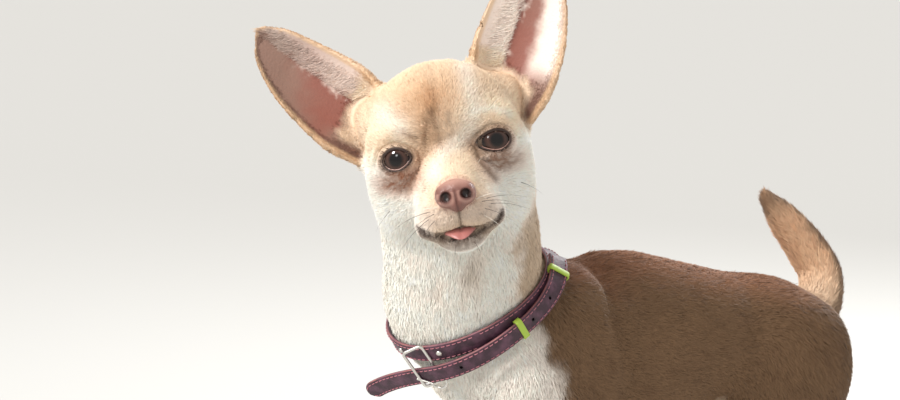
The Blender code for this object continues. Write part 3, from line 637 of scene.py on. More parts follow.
def mouth_carve(points):
    """Signed distance from the slot between the lips."""
    x, y, z = points.T
    half = mouth_gape(x) / 2
    sheet = np.abs(z - mouth_height(x) + half) - half
    back = np.interp(x, LIP_ACROSS, LIP_FRONT) + 3.5 * np.clip(1 - (x / 20) ** 2, 0.3, 1)
    return np.maximum(np.maximum(sheet, y - back), np.abs(x) - MOUTH_HALF_WIDTH)


def face_distance(points):
    """The skin with the eyes' and the mouth's openings."""
    found = skin_distance(points)
    local = in_head(points)
    for socket in SOCKETS:
        found = smooth_max(found, -socket.carve(local), 0.5)
    return smooth_max(found, -mouth_carve(local), 0.5)


def closeness(points, groups):
    """How strongly each group of masses holds a place, adding up to one."""
    away = np.full((len(points), len(groups)), FAR)
    for column, name in enumerate(groups):
        for mass in GROUPS[name]:
            near = np.linalg.norm(points - mass.middle, axis=1) < mass.reach + 30
            away[near, column] = np.minimum(away[near, column], mass.distance(points[near]))
    pull = np.exp(-(away - away.min(axis=1, keepdims=True)) / 4)
    return pull / pull.sum(axis=1, keepdims=True)


COAT_DEPTHS = {
    "torso": 1.0, "neck": 1.1, "tail": 1.7, "head": 0.9,
    "foreleg_left": 0.9, "foreleg_right": 0.9, "hindleg_left": 1.0, "hindleg_right": 1.0,
}


def step(value, low, high):
    """A smooth rise from 0 at low to 1 at high."""
    share = np.clip((value - low) / (high - low), 0, 1)
    return share * share * (3 - 2 * share)


def coat_depth(points):
    """How far the skin lies inside the coat's outside."""
    depths = np.array(list(COAT_DEPTHS.values()))
    found = closeness(points, list(COAT_DEPTHS)) @ depths
    local = in_head(points)
    face = step(-local[:, 1], 5, 35) * step(local[:, 2], -75, -55)
    found = found * (1 - face) + 0.6 * face
    found = np.where(points[:, 2] < PAW_COAT[0], np.minimum(found, PAW_COAT[1]), found)
    for ear in EARS:
        away = np.linalg.norm(points - ear.middle, axis=1) - ear.reach * 0.8
        found = np.minimum(found, 0.25 + 2 * step(away, -6, 8))
    return found


def settled(points, field, level, rounds, every=1):
    """Moves points along a field's slope onto one of its levels, with the slope found every few rounds."""
    for turn in range(rounds):
        here = field(points)
        if turn % every == 0:
            slope = np.stack([field(points + 0.4 * axis) - here for axis in np.eye(3)], axis=1) / 0.4
            length = np.maximum(np.linalg.norm(slope, axis=1, keepdims=True), 0.3)
        points = points - np.clip(here - level, -3, 3)[:, None] * slope / length**2
    return points


def deselect():
    for obj in bpy.context.selected_objects:
        obj.select_set(False)


def use(obj):
    """Makes an object the only one that operators act on."""
    deselect()
    obj.select_set(True)
    bpy.context.view_layer.objects.active = obj


def apply_modifier(obj, kind, **settings):
    modifier = obj.modifiers.new(kind.title(), kind)
    for key, value in settings.items():
        setattr(modifier, key, value)
    use(obj)
    bpy.ops.object.modifier_apply(modifier=modifier.name)


def vertex_array(mesh):
    points = np.empty(len(mesh.vertices) * 3, np.float32)
    mesh.vertices.foreach_get("co", points)
    return points.reshape(-1, 3).astype(float)


def normal_array(mesh):
    normals = np.empty(len(mesh.vertices) * 3, np.float32)
    mesh.vertices.foreach_get("normal", normals)
    return normals.reshape(-1, 3).astype(float)


def set_vertices(mesh, points):
    mesh.vertices.foreach_set("co", points.astype(np.float32).ravel())
    mesh.update()


def in_place(mesh):
    """Moves a mesh made in the dog's millimetres to the frame's metres."""
    set_vertices(mesh, (vertex_array(mesh) + SHIFT) * MM)


def new_object(name, bm):
    """An object in the dog's own millimetres."""
    mesh = bpy.data.meshes.new(name)
    bm.to_mesh(mesh)
    bm.free()
    made = bpy.data.objects.new(name, mesh)
    bpy.context.scene.collection.objects.link(made)
    return made


def rough_object(name, masses):
    """The masses as overlapping balls, for a remesh to join."""
    balls = [ball for mass in masses for ball in mass.rough()]
    faces = [UNIT_BALL[1] + len(UNIT_BALL[0]) * k for k in range(len(balls))]
    mesh = bpy.data.meshes.new(name)
    mesh.from_pydata(np.vstack(balls).tolist(), [], np.vstack(faces).tolist())
    made = bpy.data.objects.new(name, mesh)
    bpy.context.scene.collection.objects.link(made)
    return made


def refine(obj, chosen):
    """Cuts the edges between the chosen vertices in two."""
    bm = bmesh.new()
    bm.from_mesh(obj.data)
    bm.verts.ensure_lookup_table()
    edges = [edge for edge in bm.edges if chosen[edge.verts[0].index] and chosen[edge.verts[1].index]]
    bmesh.ops.subdivide_edges(bm, edges=edges, cuts=1, use_grid_fill=True)
    bmesh.ops.triangulate(bm, faces=[face for face in bm.faces if len(face.verts) > 4])
    bm.to_mesh(obj.data)
    bm.free()


def near_features(points):
    """Which places lie round the eyes, the nose or the mouth."""
    local = in_head(points)
    found = np.zeros(len(points), bool)
    for socket in SOCKETS:
        found |= np.linalg.norm(local - socket.centre, axis=1) < EYE_RADIUS + 5
    x, y, z = local.T
    return found | ((np.abs(x) < 24) & (y < -16) & (z < -32) & (z > -56))


def make_skin():
    """One skin for the whole dog, a coat's depth inside the solids."""
    skin = rough_object("skin", MASSES)
    leaves = [ear.rough() for ear in EARS]
    use(skin)
    for leaf in leaves:
        leaf.select_set(True)
    bpy.ops.object.join()
    apply_modifier(skin, "REMESH", mode="VOXEL", voxel_size=SKIN_VOXEL)
    points = vertex_array(skin.data)
    local = in_head(points)
    body = skin.vertex_groups.new(name="body")
    reach = np.linalg.norm(local - (0, 0, 10), axis=1)
    face = (reach < 62) | (np.abs(local[:, 0]) > 40) & (local[:, 2] > -20)
    body.add(np.flatnonzero(~face).tolist(), 1.0, "REPLACE")
    ratio = SKIN_TRIANGLES / (2 * len(points))
    apply_modifier(skin, "DECIMATE", decimate_type="COLLAPSE", ratio=ratio, vertex_group="body")
    skin.vertex_groups.clear()
    points = vertex_array(skin.data)
    points = settled(points, skin_distance, -coat_depth(points), 5, every=2)
    points[:, 2] = np.maximum(points[:, 2], SKIN_OFF_FLOOR)
    set_vertices(skin.data, points)
    refine(skin, near_features(points))
    points = vertex_array(skin.data)
    features = near_features(points)
    points[features] = settled(points[features], face_distance, -coat_depth(points[features]), 7)
    set_vertices(skin.data, points)
    return skin


class Wire:
    """A shader socket that can be used in sums."""

    def __init__(self, paint, socket):
        self.paint = paint
        self.socket = socket

    def maths(self, operation, *values):
        return self.paint.node("ShaderNodeMath", {"operation": operation}, *values)

    def __add__(self, other):
        return self.maths("ADD", self, other)

    def __sub__(self, other):
        return self.maths("SUBTRACT", self, other)

    def __mul__(self, other):
        return self.maths("MULTIPLY", self, other)

    def __rsub__(self, other):
        return self.maths("SUBTRACT", other, self)

    __radd__ = __add__
    __rmul__ = __mul__


class Paint:
    """A material and its nodes."""

    def __init__(self, name):
        self.material = bpy.data.materials.new(name)
        self.material.use_nodes = True
        self.tree = self.material.node_tree
        self.shader = self.tree.nodes["Principled BSDF"]

    def plug(self, socket, value):
        if isinstance(value, Wire):
            self.tree.links.new(value.socket, socket)
        elif isinstance(value, tuple) and len(value) == 3 and socket.type == "RGBA":
            socket.default_value = (*value, 1)
        else:
            socket.default_value = value

    def node(self, kind, settings=None, *values, output=0, **named):
        """A node with its settings, its sockets' values in order, and more of them by name."""
        made = self.tree.nodes.new(kind)
        for key, value in (settings or {}).items():
            if key == "stops":
                ramp = made.color_ramp.elements
                ramp[0].position, ramp[1].position = value[0][0], value[-1][0]
                ramp[0].color, ramp[1].color = (*value[0][1], 1), (*value[-1][1], 1)
                for place, colour in value[1:-1]:
                    ramp.new(place).color = (*colour, 1)
            else:
                setattr(made, key, value)
        for socket, value in zip(made.inputs, values):
            if value is not None:
                self.plug(socket, value)
        for key, value in named.items():
            self.plug(made.inputs[key.replace("_", " ")], value)
        return Wire(self, made.outputs[output])

    def finish(self, **named):
        """Sets the shader's own sockets."""
        for key, value in named.items():
            self.plug(self.shader.inputs[key.replace("_", " ")], value)
        return self.material

    def attribute(self, name, output="Color"):
        return self.node("ShaderNodeAttribute", {"attribute_name": name}, output=output)

    def place(self):
        return self.node("ShaderNodeTexCoord", output="Object")

    def noise(self, scale, detail=3.0):
        return self.node("ShaderNodeTexNoise", None, Vector=self.place(), Scale=scale, Detail=detail)

    def mix(self, share, one, other):
        """Two colours mixed by a share of the second."""
        made = self.tree.nodes.new("ShaderNodeMix")
        made.data_type = "RGBA"
        for socket, value in zip((made.inputs[0], made.inputs[6], made.inputs[7]), (share, one, other)):
            self.plug(socket, value)
        return Wire(self, made.outputs[2])

    def bump(self, height, distance, strength=1.0):
        return self.node("ShaderNodeBump", None, Height=height, Distance=distance, Strength=strength)


NOISE_FACTORS = np.array((374761393, 668265263, 1103515245))
NOISE_STIR = 1274126177


def noise(points, size, seed=0):
    """Smooth noise from -1 to 1, with features of a size in millimetres."""
    scaled = points / size + 31.7 * seed
    cell = np.floor(scaled).astype(np.int64)
    share = scaled - cell
    share = share * share * (3 - 2 * share)
    found = np.zeros(len(points))
    for corner in np.ndindex(2, 2, 2):
        spot = (cell + corner) @ NOISE_FACTORS
        spot = (spot ^ (spot >> 13)) * NOISE_STIR
        value = ((spot ^ (spot >> 16)) & 65535) / 32767.5 - 1
        found += value * np.prod(np.where(corner, share, 1 - share), axis=1)
    return found


def stroke(places, line, width):
    """From 1 on a line of points to 0 away from it, where the places and the line are flat."""
    away = np.full(len(places), np.inf)
    for start, end in zip(np.array(line, float), np.array(line[1:], float)):
        along = end - start
        share = np.clip((places - start) @ along / (along @ along), 0, 1)
        away = np.minimum(away, np.linalg.norm(places - start - share[:, None] * along, axis=1))
    return np.exp(-((away / width) ** 2))


def patch(places, centre, radii):
    """From 1 in the middle of an oval to 0 outside it."""
    return np.exp(-((((places - centre) / radii) ** 2).sum(axis=1)) ** 1.5)


def linear(red, green, blue):
    """A colour written as 0 to 255 on a screen, as the light it stands for."""
    values = np.array((red, green, blue)) / 255
    light = np.where(values <= 0.04045, values / 12.92, ((values + 0.055) / 1.055) ** 2.4)
    return tuple(light.tolist())


CREAM = linear(246, 224, 197)
WHITE = linear(252, 243, 233)
TAN = linear(206, 156, 108)
PALE_TAN = linear(232, 198, 160)
ORANGE = linear(206, 152, 110)
# A redder coat colour, also laid as painted light on the top of the back
FAWN = linear(126, 97, 70)
RUST_AND_TOP_LIGHT = linear(150, 102, 74)
SABLE = linear(96, 68, 48)
DUSK_BROWN = linear(140, 100, 72)
STAIN = linear(148, 102, 74)
LIT_STAIN_RIGHT = linear(168, 104, 68)
THROAT_SHADOW_GREY = linear(186, 172, 152)
TAIL_CREAM = linear(238, 198, 162)
TAIL_BROWN_AND_SHADE = linear(116, 86, 62)
LIP = linear(60, 43, 35)
MUZZLE_GREY = linear(224, 206, 192)
LIP_BROWN_AND_CHIN_SHADE = linear(112, 82, 62)
NOSE_SKIN = linear(190, 140, 126)
EAR_SKIN = linear(144, 88, 75)
EAR_GREY_AND_SHADOW = linear(142, 114, 100)
EAR_PALE = linear(250, 234, 222)
LEATHER = linear(60, 35, 48)
LEATHER_EDGE = linear(170, 108, 106)


def between(one, other, share):
    """A colour between two, by the share of the second."""
    return np.array(one) * (1 - share) + np.array(other) * share


def plain(colour, points):
    """One colour at every place."""
    return np.tile(np.array(colour), (len(points), 1))


def over(colours, colour, share):
    """Lays a colour over others by a share for each place."""
    share = np.clip(share, 0, 1)[:, None]
    return colours * (1 - share) + np.array(colour) * share


# Marks of the face: a colour, lines across and up in the head's frame, the width and the strength
STROKES = (
    (TAN, ((-5, 8), (-6, -3), (-5, -9)), 6.0, 0.45),
    (WHITE, ((15.5, 24), (15, 6), (10, -5)), 4.6, 0.55),
    (WHITE, ((7, -8), (-2, -12), (-8, -21)), 3.8, 0.6),
    (WHITE, ((-24, 11), (-18, 3)), 5.0, 0.6),
    # Painted light: a pale arc on the brow fold above the left eye
    (WHITE, ((15, 3.5), (23, 3.2), (30, 0)), 1.8, 0.55),
    (ORANGE, ((-12, -9), (-15, -16), (-18.5, -25)), 3.2, 0.45),
    (ORANGE, ((11, -10), (13, -18), (17, -27)), 3.0, 0.35),
    # Painted shade: a dark line in the crease between the brow and the upper lid of the left eye
    (SABLE, ((14, -6), (21, -3.2), (28, -6)), 1.5, 0.4),
    # Partly a tear stain and partly painted shade in the crease below the left eye
    (SABLE, ((11.5, -11), (13.5, -20), (18.5, -28)), 1.5, 0.55),
    (STAIN, ((-12, -12), (-14, -18)), 1.7, 0.5),
)
STREAKS = (
    (((-4, 7), (-8, -4), (-9.5, -9)), 1.7, 0.7),
    (((-3, 7), (-2, -9)), 1.3, 0.55),
    (((-15.5, 0.5), (-11.5, -3)), 1.5, 0.6),
    (((4.5, 5), (3, -6)), 1.3, 0.4),
    (((0.5, 26), (-1, 8)), 1.6, 0.2),
)


def face_marks(colours, local):
    """The head's markings, with painted light and shade round the eyes, in the grooves of the nose and lip
    and on the chin, laid on from the front.
    """
    x, y, z = local.T
    flat = local[:, (0, 2)]
    wobble = noise(local, 5, 3)
    fine = noise(local, 1.6, 4)
    speck = noise(local, 0.9, 5)
    ahead = step(-y, -14, 8)
    colours = over(colours, CREAM, 0.8 * ahead)
    colours = over(colours, PALE_TAN, 0.4 * step(z, 4, 22) * ahead)
    white = step(-z + 2 * wobble + 0.35 * (np.abs(x) - 20), 6, 20) * step(np.abs(x) + 1.5 * wobble, 8, 20)
    colours = over(colours, WHITE, white * step(-y, -34, -12))
    colours = over(colours, WHITE, step(-z, 47, 54) * step(-y, -40, -20))
    spot = patch(flat + 1.5 * np.stack((wobble, fine), axis=1), (-4, 14.5), (15, 10))
    colours = over(colours, TAN, 0.62 * spot * (0.8 + 0.3 * fine) * ahead)
    colours = over(colours, ORANGE, 0.5 * patch(flat, (-2.4, 13), (4, 5.5)) * ahead)
    for colour, line, width, share in STROKES:
        colours = over(colours, colour, share * stroke(flat, line, width) * ahead)
    streaks = 0.6 + 0.55 * noise(local * (1, 1, 0.3), 1.1, 5)
    for line, width, share in STREAKS:
        colours = over(colours, DUSK_BROWN, share * stroke(flat, line, width) * streaks * ahead)
    stipple = np.clip(0.78 + 0.3 * fine + 0.35 * speck, 0, 1)
    # The stain under the right eye, painted lighter and more orange than the left one's as lit, the left one
    # darker as in shade
    colours = over(colours, LIT_STAIN_RIGHT, patch(flat, (-23, -19.6), (9.5, 6)) * stipple * ahead)
    colours = over(colours, STAIN, 0.9 * patch(flat, (22.5, -19.4), (9.5, 5.8)) * stipple * ahead)
    for socket in SOCKETS:
        ring = socket.around(local)
        colours = over(colours, STAIN, 0.85 * ridge(np.maximum(ring, 0), 0, 1.5) * (y < -8))
        colours = over(colours, LIP, 0.8 * (1 - step(ring, 0.6, 1.5)) * (y < -8))
    pads = patch(flat, (-9, -39), (10, 6)) + patch(flat, (9, -39), (10, 6))
    colours = over(colours, MUZZLE_GREY, 0.7 * pads * step(-y, 30, 40))
    colours = over(colours, SABLE, 0.45 * step(noise(local, 1.1, 6), 0.35, 0.75) * pads * step(-y, 34, 42))
    around_nose = np.linalg.norm((local - NOSE) / (9.6, 8.4, 7.9), axis=1)
    colours = over(colours, NOSE_SKIN, 0.55 * (1 - step(around_nose, 0.94, 1.08)) * step(-y, 40, 50))
    # Painted shade in the groove of the upper lip below the nose
    colours = over(colours, SABLE, 0.7 * stroke(flat, ((0, -38), (0, -45.5)), 0.7) * step(-y, 40, 50))
    inside = 1 - step(np.abs(x), MOUTH_HALF_WIDTH - 0.5, MOUTH_HALF_WIDTH + 1.5)
    inside *= 1 - step(behind_lips(local), 6, 12)
    above = z - mouth_height(x)
    below = -above - mouth_gape(x)
    # Brown stipple of the lower lip, carried down over the chin partly as painted shade under the muzzle
    chin = step(-above, -1.2, 0.4) * (1 - step(below, 6 + wobble, 12.5 + wobble))
    colours = over(colours, LIP_BROWN_AND_CHIN_SHADE, 0.8 * chin * stipple * inside)
    edge = step(-above, -0.4, 0.3) * (1 - step(below, 0.5, 2.2 + 0.7 * fine))
    colours = over(colours, LIP, 0.85 * edge * inside)
    corner = ridge(np.abs(x), MOUTH_HALF_WIDTH - 1.4, 1.9) * ridge(above, -0.8, 1.9)
    colours = over(colours, LIP, 0.9 * corner * (1 - step(behind_lips(local), 4, 8)))
    return colours


# The neck's middle line, and soft painted shadows in the throat's folds, each by a line and a width in the
# body's frame
NECK_LINE = spline(((0, -30, 160), (3, -44, 186), (12, -60, 205), (20, -69, 232), (24, -74, 258)), 6)
THROAT_FOLD_SHADOWS = (
    (((48, -75, 221), (47, -77, 211)), 4.5),
    (((46, -77, 212), (40, -78, 196)), 2.2),
    (((47, -75, 212), (44, -70, 195)), 1.8),
    (((38, -86, 214), (33, -87, 198)), 1.6),
)


def bib_share(points):
    """How far a place is inside the white of the throat and chest, by its bearing round the neck."""
    x, y, z = points.T
    middle_x = np.interp(z, NECK_LINE[:, 2], NECK_LINE[:, 0])
    middle_y = np.interp(z, NECK_LINE[:, 2], NECK_LINE[:, 1])
    bearing = np.degrees(np.arctan2(x - middle_x, middle_y - y))
    middle = np.interp(z, (130, 190, 250), (6, 28, 46))
    half = np.interp(z, (100, 150, 172, 190, 250), (52, 84, 74, 70, 78))
    off = np.abs((bearing - middle + 180) % 360 - 180)
    return step(half - off + 7 * noise(points, 7, 7) + 5 * noise(points, 2.2, 8), -7, 7)


def body_marks(points, normals):
    """Brown over the back, redder and lighter on its top as partly painted light, with a cream belly, pale
    legs and a white chest and feet.
    """
    y, z = points[:, 1], points[:, 2]
    colours = plain(FAWN, points)
    # Partly a redder coat and partly painted light: the upward-facing top of the back is laid redder and
    # lighter, as lit from above
    colours = over(colours, RUST_AND_TOP_LIGHT, 0.75 * step(normals[:, 2], 0.45, 0.95) * step(z, 165, 190))
    colours = over(colours, SABLE, 0.22 * (0.5 + 0.5 * noise(points, 18, 9)) * step(y, 40, 150))
    colours = over(colours, SABLE, 0.3 * step(noise(points, 2.4, 10), 0.1, 0.9))
    belly = step(-normals[:, 2], 0.65, 1.0) * step(180 - z, 20, 50)
    colours = over(colours, CREAM, 0.7 * belly)
    legs = step(112 - z, 0, 70)
    colours = over(colours, CREAM, 0.62 * legs)
    colours = over(colours, WHITE, 0.8 * step(26 + 4 * noise(points, 6, 11) - z, 0, 12))
    colours = over(colours, WHITE, 0.95 * bib_share(points) * step(y, 10, -25) * step(z, 85, 110))
    return colours


def tail_marks(colours, points, share):
    """Cream below, with a dark line over it that is partly brown hair and partly painted shade, painted
    shade at the root and a dark tip.
    """
    line = spline(TAIL_LINE, 6)[:, :3]
    away = np.linalg.norm(points[:, None] - line[None], axis=2)
    along = away.argmin(axis=1) / (len(line) - 1)
    behind = (points - line[away.argmin(axis=1)])[:, 1]
    found = plain(TAIL_CREAM, points)
    found = over(found, CREAM, 0.5 * (1 - step(along, 0.2, 0.5)))
    # Partly darker hair and partly painted shade: the tail's back side laid darker
    found = over(found, TAIL_BROWN_AND_SHADE, 0.85 * step(behind + 2 * noise(points, 4, 12), 0, 6))
    found = over(found, SABLE, 0.62 * step(along + 0.06 * noise(points, 4, 13), 0.74, 0.98))
    # Painted shade at the tail's root, where it meets the rump
    found = over(found, SABLE, 0.5 * (1 - step(along, 0.02, 0.18)))
    return colours * (1 - share[:, None]) + found * share[:, None]


def ear_marks(along, across, facing, left, points):
    """The ear's colours by its spot on the leaf: bare skin within, pale long hair on the inner side, painted
    light on the left ear's cupped outer part and painted shadow low on each ear's outer margin.
    """
    ripple = noise(points, 4, 14)
    fine = noise(points, 1.3, 15)
    back = plain(between(PALE_TAN, TAN, 0.5), points)
    back = over(back, CREAM, 0.5 * (1 - step(along, 0.2, 0.6)))
    back = over(back, SABLE, 0.25 * step(along, 0.75, 1.0) + 0.1 * (1 + ripple))
    front = plain(EAR_SKIN, points)
    dusk = step(along + 0.3 * across + 0.06 * ripple, 0.55, 0.9) * (1 - 0.6 * left)
    front = over(front, EAR_GREY_AND_SHADOW, 0.85 * dusk)
    # Painted light: the left ear's cupped outer part paler, as lit from outside
    lit = left * step(across + 0.04 * ripple, 0.56, 0.74) * step(along, 0.2, 0.42)
    front = over(front, EAR_PALE, 0.85 * lit)
    # Painted shadow along the lower outer margin of each ear, where it folds
    front = over(front, EAR_GREY_AND_SHADOW, 0.7 * step(across, 0.72, 0.86) * (1 - step(along, 0.25, 0.4)))
    pale = step(0.38 - across + 0.11 * ripple + 0.08 * fine - 0.06 * along, -0.08, 0.07)
    front = over(front, EAR_PALE, 0.95 * pale * (1 - (1 - left) * (0.2 + 0.4 * step(along, 0.3, 0.75))))
    root = step(0.25 - along + 0.04 * ripple, -0.03, 0.05) * step(0.9 - across, 0, 0.1)
    front = over(front, CREAM, 0.9 * root)
    rim = np.maximum(step(across, 0.94, 0.98), step(0.04 - across, -0.02, 0.02))
    rim = np.maximum(rim, step(along, 0.93, 0.98))
    front = over(front, PALE_TAN, 0.8 * rim)
    return np.where((facing > 0)[:, None], front, back)


def lie_of_coat(points, normals, hold):
    """The way the hair lies at each place, along the skin."""
    local = in_head(points)
    y, z = points[:, 1], points[:, 2]
    from_nose = unit(local - np.array((0, -63, -27))) + (0, 0.45, 0)
    head = unit(from_nose) @ HEAD_TURNS.T
    neck = np.tile(unit(np.array((-20.0, 25.0, -90.0))), (len(points), 1))
    front = step(-y, 5, 45)[:, None]
    torso = unit(front * (0, 0.25, -1) + (1 - front) * (0, 1, -0.28))
    toes = step(26 - z, 0, 14)[:, None]
    foreleg = unit((1 - toes) * (0, 0.12, -1) + toes * (0, -1, -0.45))
    hindleg = unit((1 - toes) * (0, 0.45, -1) + toes * (0, -1, -0.45))
    line = spline(TAIL_LINE, 6)[:, :3]
    ways = unit(np.gradient(line, axis=0))
    near = np.linalg.norm(points[:, None] - line[None], axis=2).argmin(axis=1)
    found = hold["head"][:, None] * head + hold["neck"][:, None] * neck + hold["torso"][:, None] * torso
    found += hold["tail"][:, None] * ways[near]
    found += hold["foreleg"][:, None] * foreleg + hold["hindleg"][:, None] * hindleg
    found += 0.28 * np.stack([noise(points, 9, seed) for seed in (20, 21, 22)], axis=1)
    found -= normals * (found * normals).sum(axis=1, keepdims=True)
    return unit(found)


class Hide:
    """What the coat needs to know at every vertex of the skin."""

    def __init__(self, skin):
        skin.data.calc_loop_triangles()
        self.points = vertex_array(skin.data)
        self.normals = normal_array(skin.data)
        corners = np.empty(len(skin.data.loop_triangles) * 3, np.int32)
        skin.data.loop_triangles.foreach_get("vertices", corners)
        self.triangles = corners.reshape(-1, 3)
        a, b, c = (self.points[self.triangles[:, k]] for k in range(3))
        self.areas = np.linalg.norm(np.cross(b - a, c - a), axis=1) / 2
        self.local = in_head(self.points)
        names = list(COAT_DEPTHS)
        pull = closeness(self.points, names)
        self.hold = {kind: pull[:, [name.startswith(kind) for name in names]].sum(axis=1)
                     for kind in ("torso", "neck", "tail", "head", "foreleg", "hindleg")}
        self.find_ears()
        self.lay()
        self.colour()
        self.measure()

    def find_ears(self):
        """Which vertices are on an ear, and where on its leaf."""
        count = len(self.points)
        self.on_ear, self.ear_left = np.zeros(count), np.zeros(count)
        self.ear_along, self.ear_across, self.ear_facing = np.zeros(count), np.zeros(count), np.ones(count)
        self.ear_up = np.zeros((count, 3))
        for ear in EARS:
            near = np.flatnonzero(np.linalg.norm(self.points - ear.middle, axis=1) < ear.reach + 6)
            away, along, across, facing = ear.nearest(self.points[near])
            share = step(3.6 - away, 0, 1.2) * step(flesh_distance(self.points[near]), 0.2, 3)
            chosen = near[share > 0]
            self.on_ear[chosen] = share[share > 0]
            self.ear_along[chosen] = along[share > 0]
            self.ear_across[chosen] = across[share > 0]
            self.ear_facing[chosen] = facing[share > 0]
            self.ear_left[chosen] = ear.side > 0
            row = np.minimum((along * ear.rows).astype(int), ear.rows - 1)
            column = np.minimum((across * EAR_COLUMNS).astype(int), EAR_COLUMNS - 1)
            way = unit(ear.grid[row + 1, column] - ear.grid[row, column])
            over_way = unit(ear.grid[row, column + 1] - ear.grid[row, column])
            fringe = (step(0.4 - across, 0, 0.25) * step(across, 0.02, 0.12) * (facing > 0))[:, None]
            self.ear_up[chosen] = unit(way + 1.3 * fringe * over_way)[share > 0]

    def lay(self):
        """The way the hair lies, up the ears and back over the rest."""
        lie = lie_of_coat(self.points, self.normals, self.hold)
        lie = lie * (1 - self.on_ear[:, None]) + self.ear_up * self.on_ear[:, None]
        lie -= self.normals * (lie * self.normals).sum(axis=1, keepdims=True)
        self.lie = unit(lie)

    def colour(self):
        """The markings of the body, throat, head, tail and ears, with their painted light and shade, laid
        over each other.
        """
        points, local = self.points, self.local
        body = body_marks(points, self.normals)
        head = face_marks(plain(between(CREAM, TAN, 0.42), points), local)
        share = self.hold["head"] * step(local[:, 2], -62, -50)
        neck = plain(between(CREAM, FAWN, 0.4), points)
        neck = over(neck, WHITE, 0.97 * bib_share(points))
        # Painted shadow in the throat's folds
        for line, width in THROAT_FOLD_SHADOWS:
            neck = over(neck, THROAT_SHADOW_GREY, 0.42 * stroke(points, line, width))
        above = (points - np.array(COLLAR_CENTRE)) @ np.array(COLLAR_NORMAL)
        throat = step(above + 1.5 * noise(points, 5, 16), -7, 5)[:, None]
        found = body * (1 - throat) + neck * throat
        found = found * (1 - share[:, None]) + head * share[:, None]
        found = tail_marks(found, points, self.hold["tail"])
        ears = ear_marks(self.ear_along, self.ear_across, self.ear_facing, self.ear_left, points)
        self.colours = found * (1 - self.on_ear[:, None]) + ears * self.on_ear[:, None]

    def tuft_measure(self, k, face):
        """One of the three numbers of the tufts at every vertex, the ears left out."""
        found = sum(self.hold[kind] * numbers[k] for kind, numbers in TUFTS.items())
        return found + self.hold["head"] * face * FACE_TUFTS[k]

    def measure(self):
        """How long, wide, high and close the tufts are."""
        local, points, on_ear = self.local, self.points, self.on_ear
        y = local[:, 1]
        face = step(-y, 5, 40)
        length, width, density = (self.tuft_measure(k, face) for k in range(3))
        length = np.where(points[:, 2] < PAW_TUFTS[0], np.minimum(length, PAW_TUFTS[1]), length)
        off_nose = np.linalg.norm((local - NOSE) / (9.5, 7.5, 8), axis=1) * 8 - 8
        mouth = np.where(y < -14, np.maximum(off_mouth(local), 0), FAR)
        lids = [np.where(y < 0, np.maximum(socket.around(local), 0), FAR) for socket in SOCKETS]
        away = np.min((off_nose, mouth, *lids), axis=0)
        length = np.minimum(length, 0.8 + 0.45 * np.maximum(away, 0))
        length *= 0.3 + 0.7 * step(flesh_distance(points + 4 * self.normals), 0.8, 3.4)
        in_front = self.ear_facing > 0
        fringe = in_front * step(0.38 - self.ear_across, 0, 0.1) * step(self.ear_across, 0.06, 0.2)
        bare = in_front * (1 - fringe) * step(0.95 - self.ear_across, 0, 0.06)
        bare *= step(0.93 - self.ear_along, 0, 0.06) * step(self.ear_along, 0.2, 0.3)
        self.length = length * (1 - on_ear) + (EAR_TUFTS[0] + FRINGE_LENGTH * fringe) * on_ear
        self.width = width * (1 - on_ear) + EAR_TUFTS[1] * on_ear
        self.depth = np.where(on_ear > 0.5, 0.25 + 0.8 * fringe, coat_depth(points))
        density = density * (1 - on_ear) + EAR_TUFTS[2] * (1 - bare) * on_ear
        for socket in SOCKETS:
            density *= np.where(y < 0, step(socket.around(local), 0.7, 1.3), 1)
        density *= step(mouth, 0.3, 0.6)
        density *= step(np.linalg.norm((local - NOSE) / (9.5, 7.7, 7.8), axis=1), 0.94, 1.04)
        self.density = density

    def grow(self, name, chosen, seed, unwrap):
        """One piece of coat: thin pointed tufts on the chosen triangles, which lie along the skin."""
        rng = np.random.default_rng(seed)
        triangles = self.triangles[chosen]
        weight = self.areas[chosen] * self.density[triangles].mean(axis=1)
        count = min(int(weight.sum()), MOST_TUFTS)
        picked = triangles[rng.choice(len(triangles), count, p=weight / weight.sum())]
        shares = rng.dirichlet((1, 1, 1), count)

        def at(values):
            return (values[picked] * (shares[..., None] if values.ndim > 1 else shares)).sum(axis=1)

        root, normal, lie = at(self.points), unit(at(self.normals)), at(self.lie)
        lie = lie + rng.normal(0, 0.13, (count, 3))
        lie = unit(lie - normal * (lie * normal).sum(axis=1, keepdims=True))
        length = at(self.length) * rng.uniform(0.65, 1.25, count)
        stray = np.where(rng.random(count) < 0.05, 1.5, 1)
        high = at(self.depth) * rng.uniform(0.85, 1.2, count) * stray + 0.1
        roll = rng.normal(0, 0.32, count)[:, None]
        side = np.cross(normal, lie)
        side = side * np.cos(roll) + normal * np.sin(roll)
        half = (at(self.width) * rng.uniform(0.7, 1.3, count) / 2)[:, None]
        curl = (rng.normal(0, 0.1, count) * length)[:, None]
        low = root - normal * 0.25
        middle = root + lie * (length * 0.5)[:, None] + normal * (high * 0.72)[:, None]
        tip = root + lie * length[:, None] + normal * high[:, None] + side * curl
        spread = side * half
        corners = (low - spread, low + spread, middle - spread * 0.8, middle + spread * 0.8, tip)
        verts = np.stack(corners, axis=1)
        verts[..., 2] = np.maximum(verts[..., 2], TUFTS_OFF_FLOOR - SHIFT[2])
        shade = 1 + rng.normal(0, 0.045, count) + 0.05 * noise(root, 2.2, 30) + 0.05 * noise(root, 9, 31)
        colour = np.clip(at(self.colours) * shade[:, None], 0.003, 0.9)
        # Painted shade: each tuft is darker at its root, where the hairs shade each other, and a little
        # paler at its tip
        colours = np.clip(colour[:, None, :] * TUFT_ROOT_SHADE[None, :, None], 0, 0.92)
        maps = (unwrap(root)[:, None] + TUFT_PATCH[None])[:, TUFT_TRIANGLES]
        tuft_object(name, verts.reshape(-1, 3), colours.reshape(-1, 3), maps.reshape(-1, 2))


